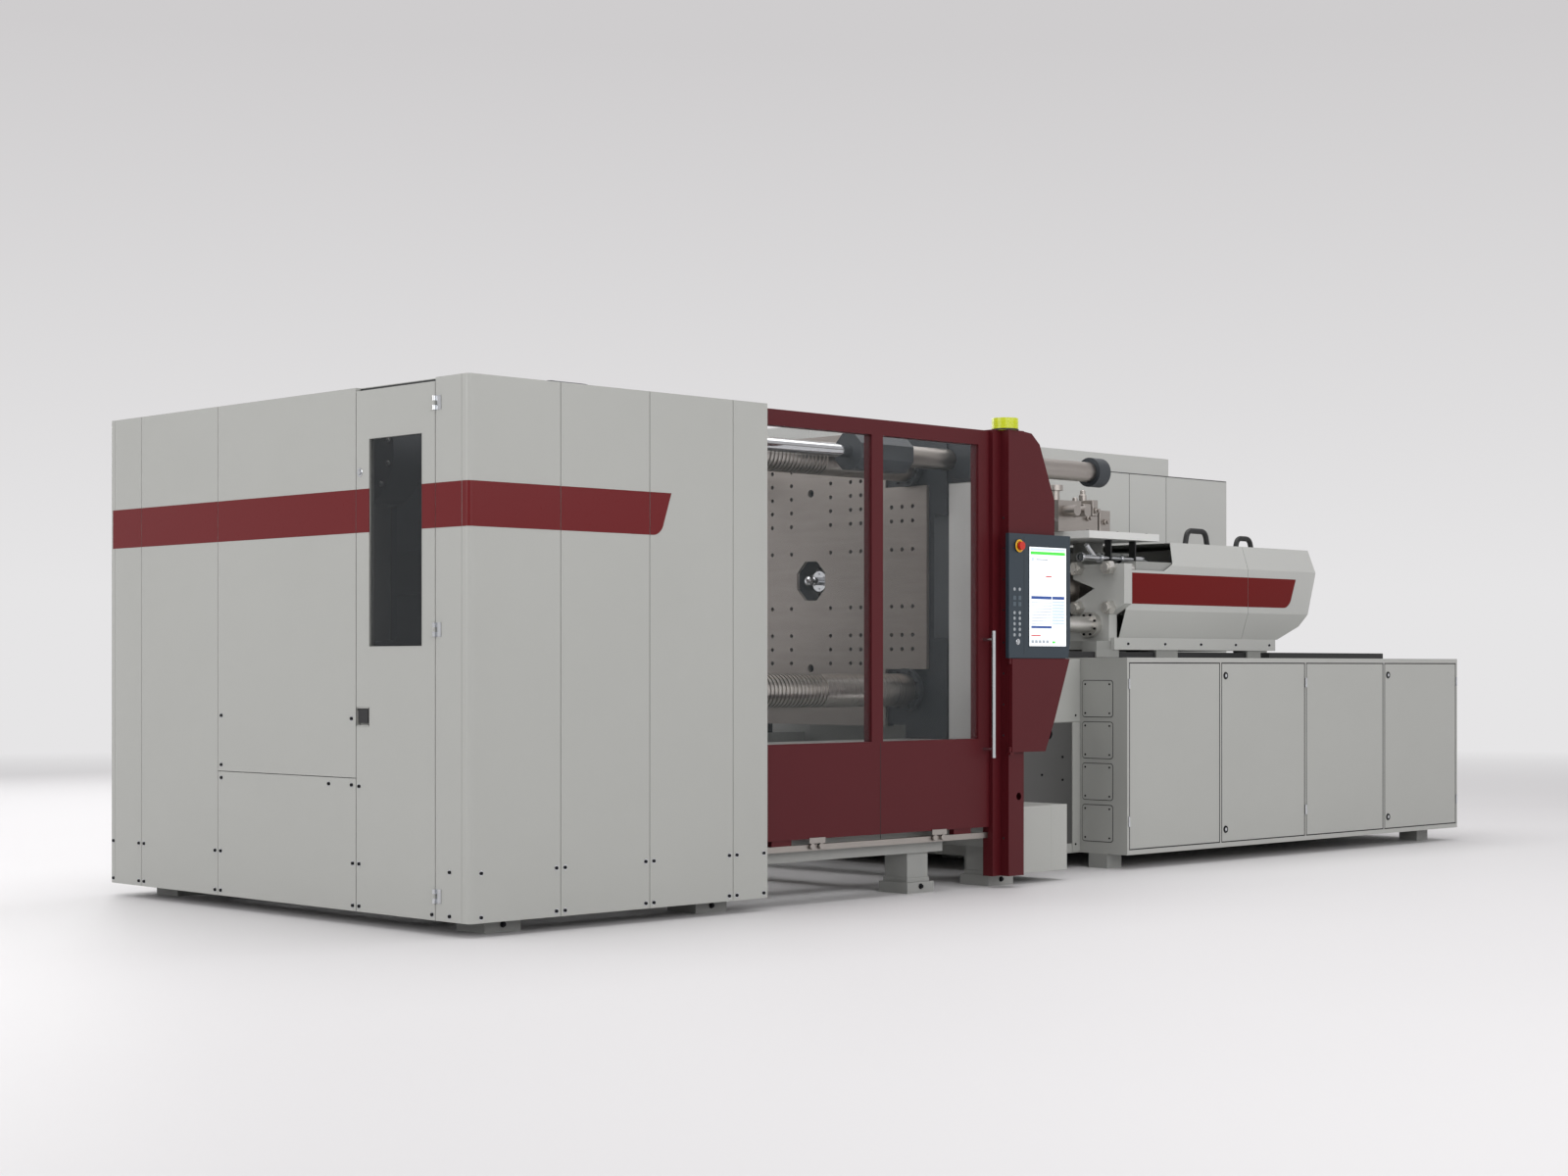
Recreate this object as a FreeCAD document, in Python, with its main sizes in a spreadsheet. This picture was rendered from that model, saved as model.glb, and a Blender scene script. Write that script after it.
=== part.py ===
import FreeCAD, Part
import Sketcher
import math
import os
import re

# Injection moulding machine, two-platen, with its guarding and control panel.
# Millimetres, +Z up.  Everything is drawn in the working frame of the shop floor:
# X runs along the machine from the clamp end to the injection end, Y runs across it
# from the operator's side to the rear side, and zero is the clamp housing's near corner
# on the floor.  Each sub-part's Placement then moves it to the part's own origin, which
# is on the floor at the middle of the machine's footprint.

doc = FreeCAD.newDocument("injection_moulding_machine")
sheet = doc.addObject("Spreadsheet::Sheet", "sizes")
SIZES = {}
PLACES = {}
SUBPARTS = []
THROUGH = 5


def enter(**rows):
    """Write driving dimensions into the sheet, one row each."""
    for name, value in rows.items():
        row = len(SIZES) + 1
        sheet.set("A%d" % row, name)
        sheet.set("B%d" % row, str(value))
        sheet.setAlias("B%d" % row, name)
        SIZES[name] = value
    sheet.recompute()


def formula(text):
    """Point every size named in the text at its cell."""
    def cell(word):
        return "sizes." + word.group() if word.group() in SIZES else word.group()
    return re.sub(r"[A-Za-z_]\w*", cell, str(text))


def bind(item, prop, text):
    item.setExpression(prop, formula(text))
    if prop.startswith("Placement.Base."):
        PLACES[item.Name, prop[-1]] = text


def block(name, x, y, z):
    """A box between two formulas along each axis."""
    item = doc.addObject("Part::Box", name)
    for prop, axis, (low, high) in zip(("Length", "Width", "Height"), "xyz", (x, y, z)):
        bind(item, prop, "(%s) - (%s)" % (high, low))
        bind(item, "Placement.Base." + axis, low)
    return item


TURNS = {
    "x": FreeCAD.Rotation(FreeCAD.Vector(0, 1, 0), 90),
    "y": FreeCAD.Rotation(FreeCAD.Vector(1, 0, 0), -90),
    "z": FreeCAD.Rotation(),
}


def bar(name, along, span, centre, radius):
    """A round bar along an axis, between two formulas, about a centre on the other two axes."""
    item = doc.addObject("Part::Cylinder", name)
    item.Placement = FreeCAD.Placement(FreeCAD.Vector(), TURNS[along])
    bind(item, "Radius", radius)
    bind(item, "Height", "(%s) - (%s)" % (span[1], span[0]))
    bind(item, "Placement.Base." + along, span[0])
    for axis, place in zip([a for a in "xyz" if a != along], centre):
        bind(item, "Placement.Base." + axis, place)
    return item


def hexagon_bar(name, along, span, centre, radius, sides=6):
    """A bar with flats; the radius is to its corners."""
    item = doc.addObject("Part::Prism", name)
    item.Polygon = sides
    spin = FreeCAD.Rotation(FreeCAD.Vector(0, 0, 1), 180 / sides)
    item.Placement = FreeCAD.Placement(FreeCAD.Vector(), TURNS[along] * spin)
    bind(item, "Circumradius", radius)
    bind(item, "Height", "(%s) - (%s)" % (span[1], span[0]))
    bind(item, "Placement.Base." + along, span[0])
    for axis, place in zip([a for a in "xyz" if a != along], centre):
        bind(item, "Placement.Base." + axis, place)
    return item


def join(name, *pieces):
    """Weld or cast several shapes into one."""
    item = doc.addObject("Part::MultiFuse", name)
    item.Shapes = list(pieces)
    item.Refine = True
    return item


def group(name, *pieces):
    """Keep several separate solids together in one sub-part."""
    item = doc.addObject("Part::Compound", name)
    item.Links = list(pieces)
    return item


def cut(name, base, *tools):
    item = doc.addObject("Part::Cut", name)
    item.Base = base
    item.Tool = tools[0] if len(tools) == 1 else group(name + "_tools", *tools)
    item.Refine = True
    return item


PLANES = {"xy": ("XY_Plane", "z", False), "xz": ("XZ_Plane", "y", True), "yz": ("YZ_Plane", "x", False)}


def plate(name, plane, outline, low, high):
    """A body: a closed outline on a plane, its corners bound to the sheet, padded between two distances."""
    role, normal, back_to_front = PLANES[plane]
    body = doc.addObject("PartDesign::Body", name)
    sketch = body.newObject("Sketcher::SketchObject", name + "_outline")
    base = [feature for feature in body.Origin.OriginFeatures if feature.Role == role][0]
    sketch.AttachmentSupport = [(base, "")]
    sketch.MapMode = "FlatFace"
    corners = [FreeCAD.Vector(number(x), number(y), 0) for x, y in outline]
    for start, end in zip(corners, corners[1:] + corners[:1]):
        sketch.addGeometry(Part.LineSegment(start, end))
    for index, (x, y) in enumerate(outline):
        following = (index + 1) % len(outline)
        sketch.addConstraint(Sketcher.Constraint("Coincident", index, 2, following, 1))
        for axis, text in (("X", x), ("Y", y)):
            place = Sketcher.Constraint("Distance" + axis, -1, 1, index, 1, number(text))
            which = sketch.addConstraint(place)
            label = "%s%d" % (axis.lower(), index)
            sketch.renameConstraint(which, label)
            sketch.setExpression("Constraints." + label, formula(text))
    pad = body.newObject("PartDesign::Pad", name + "_pad")
    pad.Profile = sketch
    pad.Reversed = back_to_front
    bind(pad, "Length", "(%s) - (%s)" % (high, low))
    bind(body, "Placement.Base." + normal, low)
    sketch.Visibility = False
    return body


def number(text):
    """What a formula comes to, for the first drawing of a sketch."""
    return float(sheet.evalExpression(formula(text)))


def upright_at(*places):
    """Picks the edges parallel to Z that stand at the given plan points."""
    def pick(edge):
        low, high = edge.BoundBox, edge.Vertexes[0].Point
        plan = low.XLength < 0.01 and low.YLength < 0.01
        return plan and any(math.hypot(high.x - x, high.y - y) < 0.01 for x, y in places)
    return pick


def rounded(name, base, radius, pick):
    """Round the picked edges of a shape."""
    doc.recompute()
    item = doc.addObject("Part::Fillet", name)
    item.Base = base
    size = SIZES[radius]
    item.Edges = [(i + 1, size, size) for i, edge in enumerate(base.Shape.Edges) if pick(edge)]
    return item


def mirrored(name, source):
    """The same piece on the other side of the machine's centre line."""
    item = doc.addObject("Part::Mirroring", name)
    item.Source = source
    item.Normal = FreeCAD.Vector(0, 1, 0)
    bind(item, "Base.y", "centre_y")
    return item


def tray(name, x, y, z, opening):
    """A folded sheet panel: a shallow tray, open towards +x, -x, +y, -y or -z."""
    outer = block(name + "_outer", x, y, z)
    spans = {"x": x, "y": y, "z": z}
    inner = {}
    for axis, (low, high) in spans.items():
        inner[axis] = ["(%s) + gauge" % low, "(%s) - gauge" % high]
    sign, axis = opening
    if sign == "+":
        inner[axis][1] = "(%s) + %d" % (spans[axis][1], THROUGH)
    else:
        inner[axis][0] = "(%s) - %d" % (spans[axis][0], THROUGH)
    return cut(name, outer, block(name + "_inner", inner["x"], inner["y"], inner["z"]))


def tube(name, x, y, z, along):
    """A square tube along an axis, open at both ends."""
    spans = {"x": x, "y": y, "z": z}
    inner = {}
    for axis, (low, high) in spans.items():
        if axis == along:
            inner[axis] = ("(%s) - %d" % (low, THROUGH), "(%s) + %d" % (high, THROUGH))
        else:
            inner[axis] = ("(%s) + wall" % low, "(%s) - wall" % high)
    outer = block(name + "_outer", x, y, z)
    return cut(name, outer, block(name + "_inner", inner["x"], inner["y"], inner["z"]))


def sub_part(item, label):
    """Name a finished sub-part and move it from the working frame to the part's own origin."""
    item.Label = label
    for axis, shift in (("x", "footprint_x"), ("y", "footprint_y")):
        place = PLACES.get((item.Name, axis), "0")
        item.setExpression("Placement.Base." + axis, formula("(%s) - %s" % (place, shift)))
    SUBPARTS.append(item)
    return item


# ---------------------------------------------------------------- overall sizes

enter(
    machine_length=7660, housing_length=1596, housing_width=2670, housing_top=2165,
    panel_bottom=56, gauge=3, wall=4, fold=24, seam=3, hinge_proud=14, post_proud=20, front_reach=65,
)
enter(
    bar_pitch_y=1338, bar_pitch_z=1100, centre_height=1479, bar_radius=80,
    mould_face=3210, slack=0.5,
)
sheet.set("D1", "=housing_width / 2")
sheet.setAlias("D1", "centre_y")
sheet.set("D2", "=(machine_length - hinge_proud) / 2")
sheet.setAlias("D2", "footprint_x")
sheet.set("D3", "=(housing_width + post_proud - front_reach) / 2")
sheet.setAlias("D3", "footprint_y")
doc.recompute()
for derived in ("centre_y", "footprint_x", "footprint_y"):
    SIZES[derived] = sheet.get(derived)

# ---------------------------------------------------------------- clamp bed and feet

enter(
    foot_side=180, foot_base=50, foot_cap=20, foot_cap_inset=15, leg_side=140,
    foot_1_x=170, foot_2_x=1290, foot_3_x=2610, foot_4_x=3180, foot_y=120,
    cross_low=186, cross_high=286, cross_end=120,
    beam_near=430, beam_width=270, beam_top=690, beam_start=100, beam_end=3804, beam_wall=25,
)

FEET = ["foot_%d_x" % n for n in (1, 2, 3, 4)]
legs = []
feet = []
for n, foot in enumerate(FEET):
    for side, low in (("near", "foot_y"), ("rear", "housing_width - foot_y - foot_side")):
        tag = "%s_%d" % (side, n + 1)
        x, y = (foot, foot + " + foot_side"), (low, low + " + foot_side")
        pad = block("foot_pad_" + tag, x, y, ("0", "foot_base"))
        cap = block("foot_cap_" + tag,
                    (foot + " + foot_cap_inset", foot + " + foot_side - foot_cap_inset"),
                    (low + " + foot_cap_inset", low + " + foot_side - foot_cap_inset"),
                    ("foot_base", "foot_base + foot_cap"))
        feet.append(join("foot_" + tag, pad, cap))
        inset = "(foot_side - leg_side) / 2"
        legs.append(block("leg_" + tag,
                          ("%s + %s" % (foot, inset), "%s + %s + leg_side" % (foot, inset)),
                          ("%s + %s" % (low, inset), "%s + %s + leg_side" % (low, inset)),
                          ("foot_base + foot_cap", "cross_high")))
for n, foot in enumerate(FEET):
    legs.append(tube("cross_%d" % (n + 1), (foot, foot + " + leg_side"),
                     ("cross_end", "housing_width - cross_end"), ("cross_low", "cross_high"), "y"))
sill = tube("sill_near", ("beam_start", "foot_3_x + foot_side + 60"),
            ("cross_end", "cross_end + leg_side"),
            ("cross_low", "cross_high"), "x")
beam = block("beam_outer", ("beam_start", "beam_end"), ("beam_near", "beam_near + beam_width"),
             ("cross_high", "beam_top"))
beam_core = block("beam_core", ("beam_start - 5", "beam_end + 5"),
                  ("beam_near + beam_wall", "beam_near + beam_width - beam_wall"),
                  ("cross_high + beam_wall", "beam_top - beam_wall"))
beam_near_side = cut("beam_near_side", beam, beam_core)
sub_part(join("bed", *(legs + [sill, mirrored("sill_rear", sill), beam_near_side,
                               mirrored("beam_rear_side", beam_near_side)])), "clamp_bed")

# ---------------------------------------------------------------- tie bars, platens

enter(
    bar_start=830, bar_end=3760, groove_start=884, groove_pitch=25, groove_count=68,
    groove_width=12, groove_depth=6,
    platen_thickness=350, nut_radius=125, nut_thickness=130, ring_radius=105, ring_thickness=30,
    face_half_width=792, face_half_height=448, spine_half_width=519, spine_half_height=730,
    cast_half_width=905, face_thickness=60,
    locate_radius=108, tapped_radius=10.5, tapped_depth=55, grid=70, lifting_radius=20,
    lifting_height=445, lifting_depth=90,
)

BAR_Y = {"near": "centre_y - bar_pitch_y / 2", "rear": "centre_y + bar_pitch_y / 2"}
BAR_Z = {"lower": "centre_height - bar_pitch_z / 2", "upper": "centre_height + bar_pitch_z / 2"}
CORNERS = [(level, side) for level in BAR_Z for side in BAR_Y]


def tie_bar_outline():
    """Half the section of a tie bar: the locking grooves are square cuts at an even pitch."""
    points = [(SIZES["bar_start"], 0), (SIZES["bar_start"], SIZES["bar_radius"])]
    low = SIZES["bar_radius"] - SIZES["groove_depth"]
    for n in range(SIZES["groove_count"]):
        start = SIZES["groove_start"] + n * SIZES["groove_pitch"]
        end = start + SIZES["groove_width"]
        points += [(start, SIZES["bar_radius"]), (start, low), (end, low), (end, SIZES["bar_radius"])]
    points += [(SIZES["bar_end"], SIZES["bar_radius"]), (SIZES["bar_end"], 0)]
    return [FreeCAD.Vector(x, 0, z) for x, z in points]


turned_bar = Part.Face(Part.makePolygon(tie_bar_outline() + tie_bar_outline()[:1]))
turned_bar = turned_bar.revolve(FreeCAD.Vector(), FreeCAD.Vector(1, 0, 0), 360)
tie_bars = []
for level, side in CORNERS:
    tie_bar = doc.addObject("Part::Feature", "tie_bar_%s_%s" % (level, side))
    tie_bar.Shape = turned_bar
    bind(tie_bar, "Placement.Base.y", BAR_Y[side])
    bind(tie_bar, "Placement.Base.z", BAR_Z[level])
    tie_bars.append(tie_bar)
sub_part(group("tie_bar_set", *tie_bars), "tie_bars")

nuts = []
for level, side in CORNERS:
    centre = (BAR_Y[side], BAR_Z[level])
    tag = "%s_%s" % (level, side)
    body = hexagon_bar("nut_body_" + tag, "x", ("mould_face + platen_thickness",
                       "mould_face + platen_thickness + nut_thickness"), centre, "nut_radius", 8)
    hole = bar("nut_hole_" + tag, "x", ("mould_face", "bar_end + 5"), centre, "bar_radius")
    nuts.append(cut("nut_" + tag, body, hole))
    body = bar("ring_body_" + tag, "x", ("mould_face - ring_thickness", "mould_face"), centre,
               "ring_radius")
    hole = bar("ring_hole_" + tag, "x", ("mould_face - ring_thickness - 5", "mould_face + 5"),
               centre, "bar_radius")
    nuts.append(cut("ring_" + tag, body, hole))
sub_part(group("nut_set", *nuts), "tie_bar_nuts")


def grid_rows():
    """Tapped holes at multiples of the grid, as steps from the centre: (across, up)."""
    columns = (2, 4, 5, 6)
    inner = [(a, b) for a in columns for b in (2, 4, 5, 6, 7, 8)]
    outer = [(a, b) for a in (8, 9, 10) for b in (2, 4, 5)]
    return [(s * a, t * b) for a, b in inner + outer for s in (-1, 1) for t in (-1, 1)]


def mould_face_holes(name, face, into):
    """The tapped grid and the lifting holes of a mould face; into is +1 or -1 along X."""
    def span(depth):
        ends = ["%s - (%d) * 5" % (face, into), "%s + (%d) * %s" % (face, into, depth)]
        return ends if into > 0 else ends[::-1]
    tools = []
    for n, (across, up) in enumerate(grid_rows()):
        centre = ("centre_y + (%d) * grid" % across, "centre_height + (%d) * grid" % up)
        tools.append(bar("%s_tapped_%d" % (name, n), "x", span("tapped_depth"), centre, "tapped_radius"))
    for n, sign in enumerate("+-"):
        centre = ("centre_y", "centre_height %s lifting_height" % sign)
        tools.append(bar("%s_lifting_%d" % (name, n), "x", span("lifting_depth"), centre,
                         "lifting_radius"))
    return tools


def cross_outline(half_width, half_height, spine_width, spine_height):
    """A cross about the machine's centre line: wide between the tie bars, narrow above and below."""
    quarter = [(spine_width, spine_height), (spine_width, half_height), (half_width, half_height)]
    corners = quarter + [(y, "-" + z) for y, z in quarter[::-1]]
    corners += [("-" + y, z) for y, z in corners[::-1]]
    return [("centre_y + (%s)" % y, "centre_height + (%s)" % z) for y, z in corners]


def platen_solids(name, face, skin, body):
    """The machined cross, the ribbed body and the four corner blocks of a cast platen."""
    outline = cross_outline("face_half_width", "face_half_height", "spine_half_width",
                            "spine_half_height")
    solids = [plate(name + "_face", "yz", outline, skin[0], skin[1])]
    solids.append(block(name + "_waist", body, ("centre_y - waist_half_width",
                                                "centre_y + waist_half_width"),
                        ("centre_height - spine_half_height + relief",
                         "centre_height + spine_half_height - relief")))
    for level in ("lower", "upper"):
        height = ("centre_height - spine_half_height + relief", "centre_height - corner_start")
        if level == "upper":
            height = ("centre_height + corner_start", "centre_height + spine_half_height - relief")
        solids.append(block("%s_corner_%s" % (name, level), body,
                            ("centre_y - cast_half_width", "centre_y + cast_half_width"), height))
    return solids


def bar_holes(name, span, radius):
    """One hole for each tie bar."""
    return [bar("%s_hole_%s_%s" % (name, level, side), "x", span, (BAR_Y[side], BAR_Z[level]), radius)
            for level, side in CORNERS]


enter(
    waist_half_width=825, corner_start=300, relief=8, cast_step=20, foot_run=270,
    bore_radius=260, bore_depth=230,
    rod_y=430, rod_upper=2045, rod_lower=913, arm_start=30, arm_length=190, arm_reach=290,
    arm_half_height=95, barrel_radius=50, barrel_bore=42, rod_radius=30, head_start=2540,
    head_end=2900, head_radius=92, barrel_end=4330, end_cap=90, end_cap_radius=75,
)
TRAVEL = {
    "upper": ("rod_y", "rod_upper"),
    "lower": ("housing_width - rod_y", "rod_lower"),
}
back = "mould_face + platen_thickness"
cast = ("mould_face + cast_step", back)
solids = platen_solids("fixed", "mould_face", ("mould_face", "mould_face + face_thickness"), cast)
for side, low in (("near", "centre_y - cast_half_width"),
                  ("rear", "centre_y + cast_half_width - foot_run")):
    solids.append(block("fixed_foot_" + side, cast, (low, low + " + foot_run"), ("beam_top",
                        "centre_height - corner_start")))
arm = ("mould_face + arm_start", "mould_face + arm_start + arm_length")
solids.append(block("arm_upper", arm, ("arm_reach", "centre_y"),
                    ("rod_upper - arm_half_height", "rod_upper + arm_half_height")))
solids.append(block("arm_lower", arm, ("centre_y", "housing_width - arm_reach"),
                    ("rod_lower - arm_half_height", "rod_lower + arm_half_height")))
tools = mould_face_holes("fixed", "mould_face", 1)
tools += bar_holes("fixed", ("mould_face - 5", back + " + 5"), "bar_radius + slack")
tools += [bar("arm_hole_" + level, "x", ("mould_face - 5", back + " + 5"), TRAVEL[level], "barrel_radius")
          for level in TRAVEL]
tools.append(hexagon_bar("locating_opening", "x", ("mould_face - 5", back + " + 5"),
                         ("centre_y", "centre_height"), "locate_radius", 8))
tools.append(bar("nozzle_bore", "x", (back + " - bore_depth", back + " + 5"),
                 ("centre_y", "centre_height"), "bore_radius"))
sub_part(cut("fixed_platen_cast", join("fixed_platen_solid", *solids), *tools), "fixed_platen")

travel = []
for level, centre in TRAVEL.items():
    barrel = bar("barrel_body_" + level, "x", ("head_end", "barrel_end"), centre, "barrel_radius")
    bore = bar("barrel_bore_" + level, "x", ("head_end - 5", "barrel_end + 5"), centre, "barrel_bore")
    travel.append(cut("travel_barrel_" + level, barrel, bore))
    head = hexagon_bar("head_body_" + level, "x", ("head_start", "head_end"), centre, "head_radius", 8)
    bore = bar("head_bore_" + level, "x", ("head_start - 5", "head_end + 5"), centre,
               "rod_radius + slack")
    travel.append(cut("travel_head_" + level, head, bore))
    travel.append(bar("travel_cap_" + level, "x", ("barrel_end", "barrel_end + end_cap"), centre,
                      "end_cap_radius"))

# ---------------------------------------------------------------- moving platen and its lock

enter(
    rest_face=1750, body_depth=320, sleeve_start=1100, sleeve_radius=140, lock_depth=170,
    lock_radius=235, lock_wall=20, nut_half_y=150, nut_half_z=110, nut_open=35, first_tooth=3,
    tooth_count=4, web=50, bridge_depth=40, bridge_half=100, shoe_gap=0.4, head_clear=5,
    lug_start=1300, lug_length=100, lug_half=55, piston_length=40, piston_clear=0.5, rod_end=2990,
    ejector_thickness=60, ejector_half=250, ejector_gap=10, pin_radius=15, pin_pitch=350,
    pin_recess=50, ram_radius=25, ram_barrel=60, ram_length=240,
)
body = ("rest_face - body_depth", "rest_face - cast_step")
solids = platen_solids("moving", "rest_face", ("rest_face - face_thickness", "rest_face"), body)
sleeve = ("sleeve_start", "rest_face - cast_step")
for level, side in CORNERS:
    solids.append(bar("sleeve_%s_%s" % (level, side), "x", sleeve, (BAR_Y[side], BAR_Z[level]),
                      "sleeve_radius"))
for side, low in (("near", BAR_Y["near"] + " - web / 2"), ("rear", BAR_Y["rear"] + " - web / 2")):
    solids.append(block("web_" + side, ("sleeve_start", "rest_face - body_depth"), (low, low + " + web"),
                        (BAR_Z["lower"], BAR_Z["upper"])))
solids.append(block("bridge", ("sleeve_start", "sleeve_start + bridge_depth"),
                    (BAR_Y["near"], BAR_Y["rear"]),
                    ("centre_height - bridge_half", "centre_height + bridge_half")))
solids.append(block("lug_upper", ("lug_start", "lug_start + lug_length"),
                    ("rod_y - lug_half", BAR_Y["near"]),
                    ("rod_upper - lug_half", "rod_upper + lug_half")))
solids.append(block("lug_lower", ("lug_start", "lug_start + lug_length"),
                    (BAR_Y["rear"], "housing_width - rod_y + lug_half"),
                    ("rod_lower - lug_half", "rod_lower + lug_half")))
for side, low in (("near", "centre_y - cast_half_width"),
                  ("rear", "centre_y + cast_half_width - foot_run")):
    solids.append(block("shoe_" + side, body, (low, low + " + foot_run"),
                        ("beam_top + shoe_gap", "centre_height - corner_start")))
tools = mould_face_holes("moving", "rest_face", -1)
tools += bar_holes("moving", ("sleeve_start - 5", "rest_face + 5"), "bar_radius + slack")
tools += [bar("lug_hole_" + level, "x", ("lug_start - 5", "rest_face + 5"), TRAVEL[level], "rod_radius")
          for level in TRAVEL]
tools += [bar("head_way_" + level, "x", ("rest_face - body_depth - 5", "rest_face + 5"), TRAVEL[level],
              "head_radius + head_clear") for level in TRAVEL]
PINS = [("centre_y %s pin_pitch / 2" % a,
         "centre_height %s pin_pitch / 2" % b) for a in "+-" for b in "+-"]
for n, centre in enumerate(PINS):
    tools.append(bar("pin_hole_%d" % n, "x", ("rest_face - body_depth - 5", "rest_face + 5"), centre,
                     "pin_radius + slack"))
tools.append(bar("ram_hole", "x", ("sleeve_start - 5", "sleeve_start + bridge_depth + 5"),
                 ("centre_y", "centre_height"), "ram_radius + slack"))
moving_cast = cut("moving_platen_cast", join("moving_platen_solid", *solids), *tools)

locks = []
cavity = ("sleeve_start - lock_depth + lock_wall", "sleeve_start - lock_wall")
for level, side in CORNERS:
    tag = "%s_%s" % (level, side)
    shell = bar("lock_body_" + tag, "x", ("sleeve_start - lock_depth", "sleeve_start"),
                (BAR_Y[side], BAR_Z[level]), "lock_radius")
    reach = "nut_half_y + nut_open + 2"
    room = block("lock_room_" + tag, cavity, ("%s - (%s)" % (BAR_Y[side], reach),
                                              "%s + %s" % (BAR_Y[side], reach)),
                 ("%s - nut_half_z - slack" % BAR_Z[level], "%s + nut_half_z + slack" % BAR_Z[level]))
    hole = bar("lock_hole_" + tag, "x", ("sleeve_start - lock_depth - 5", "sleeve_start + 5"),
               (BAR_Y[side], BAR_Z[level]), "bar_radius + slack")
    locks.append(cut("lock_" + tag, shell, room, hole))
barrel = bar("ram_barrel_body", "x", ("sleeve_start - ram_length", "sleeve_start"),
             ("centre_y", "centre_height"),
             "ram_barrel")
bore = bar("ram_bore", "x", ("sleeve_start - ram_length + lock_wall", "sleeve_start + 5"),
           ("centre_y", "centre_height"), "ram_radius + slack")
locks.append(cut("ejector_barrel", barrel, bore))
sub_part(group("moving_platen_set", moving_cast, *locks), "moving_platen")

halves = []
nut_span = ("sleeve_start - lock_depth + lock_wall + slack", "sleeve_start - lock_wall - slack")
for level, side in CORNERS:
    tag = "%s_%s" % (level, side)
    centre = (BAR_Y[side] + " - nut_open", BAR_Z[level])
    half = block("half_body_" + tag, nut_span, (centre[0] + " - nut_half_y", centre[0] + " - slack"),
                 (BAR_Z[level] + " - nut_half_z", BAR_Z[level] + " + nut_half_z"))
    tools = [bar("half_root_" + tag, "x", (nut_span[0] + " - 5", nut_span[1] + " + 5"), centre,
                 "bar_radius - groove_depth + slack")]
    edges = [nut_span[0] + " - 5"]
    for n in range(SIZES["tooth_count"]):
        tooth = "groove_start + groove_pitch * (first_tooth + %d)" % n
        edges += [tooth + " + 1", tooth + " + groove_width - 1"]
    edges.append(nut_span[1] + " + 5")
    for n in range(0, len(edges), 2):
        tools.append(bar("half_gap_%s_%d" % (tag, n), "x", (edges[n], edges[n + 1]), centre,
                         "bar_radius + slack"))
    halves.append(cut("half_nut_" + tag, half, *tools))
near_halves = group("near_halves", *halves)
sub_part(near_halves, "half_nuts_near")
rear_halves = mirrored("rear_halves", group("near_halves_pattern", *halves))
sub_part(rear_halves, "half_nuts_rear")

ejector = [block("ejector_body", ("sleeve_start + bridge_depth + ejector_gap",
                 "sleeve_start + bridge_depth + ejector_gap + ejector_thickness"),
                 ("centre_y - ejector_half", "centre_y + ejector_half"),
                 ("centre_height - ejector_half", "centre_height + ejector_half"))]
for n, centre in enumerate(PINS):
    ejector.append(bar("pin_%d" % n, "x", ("sleeve_start + bridge_depth + ejector_gap",
                       "rest_face - pin_recess"), centre, "pin_radius"))
ejector.append(bar("ram", "x", ("sleeve_start - ram_length + lock_wall + 5",
                   "sleeve_start + bridge_depth + ejector_gap"), ("centre_y",
                                                                  "centre_height"), "ram_radius"))
sub_part(join("ejector_solid", *ejector), "ejector")

rods = []
for level, centre in TRAVEL.items():
    shaft = bar("shaft_" + level, "x", ("lug_start", "rod_end"), centre, "rod_radius")
    piston = bar("piston_" + level, "x", ("rod_end - piston_length", "rod_end"), centre,
                 "barrel_bore - piston_clear")
    rods.append(join("travel_rod_" + level, shaft, piston))
sub_part(group("travel_rod_set", *rods), "travel_rods")

# ---------------------------------------------------------------- clamp housing

enter(
    side_joint_1=455, side_joint_2=925, side_joint_3=1394, corner_return=43, corner_round=20,
    corner_inner=17, door_hinge_line=210, door_free_edge=739, end_joint_3=1763, end_joint_4=2395,
    split_height=592, frame_bar=44, frame_flat=18, post_side=50, frame_top=2120,
    roof_rail_y=130, sill_top=120, frame_gap=0.5, roof_beam=40, roof_opening=850, roof_side=340,
)
lip = ("0", "fold")
heights = ("panel_bottom", "housing_top")
outer = join("corner_outer", block("corner_long", ("0", "side_joint_1 - seam / 2"), lip, heights),
             block("corner_short", ("0", "fold"), ("0", "corner_return"), heights))
corner = rounded("corner_outer_round", outer, "corner_round", upright_at((0, 0)))
inside = ("panel_bottom + gauge", "housing_top - gauge")
inner = join("corner_inner_join",
             block("corner_inner_long", ("gauge", "side_joint_1 - seam / 2 - gauge"),
                   ("gauge", "fold + %d" % THROUGH), inside),
             block("corner_inner_short", ("gauge", "fold + %d" % THROUGH),
                   ("gauge", "corner_return - gauge"), inside))
gauge = SIZES["gauge"]
inner = rounded("corner_inner_round", inner, "corner_inner", upright_at((gauge, gauge)))
side_panels = [cut("corner_panel", corner, inner)]
joints = ["side_joint_1", "side_joint_2", "side_joint_3", "housing_length + seam / 2"]
for n in range(3):
    side_panels.append(tray("side_panel_%d" % (n + 1), (joints[n] + " + seam / 2",
                                                        joints[n + 1] + " - seam / 2"),
                            lip, heights, "+y"))
operator_panels = group("operator_panel_set", *side_panels)
sub_part(operator_panels, "operator_panels")
rear_panels = mirrored("rear_panel_set", group("rear_panel_pattern", *side_panels))

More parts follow.
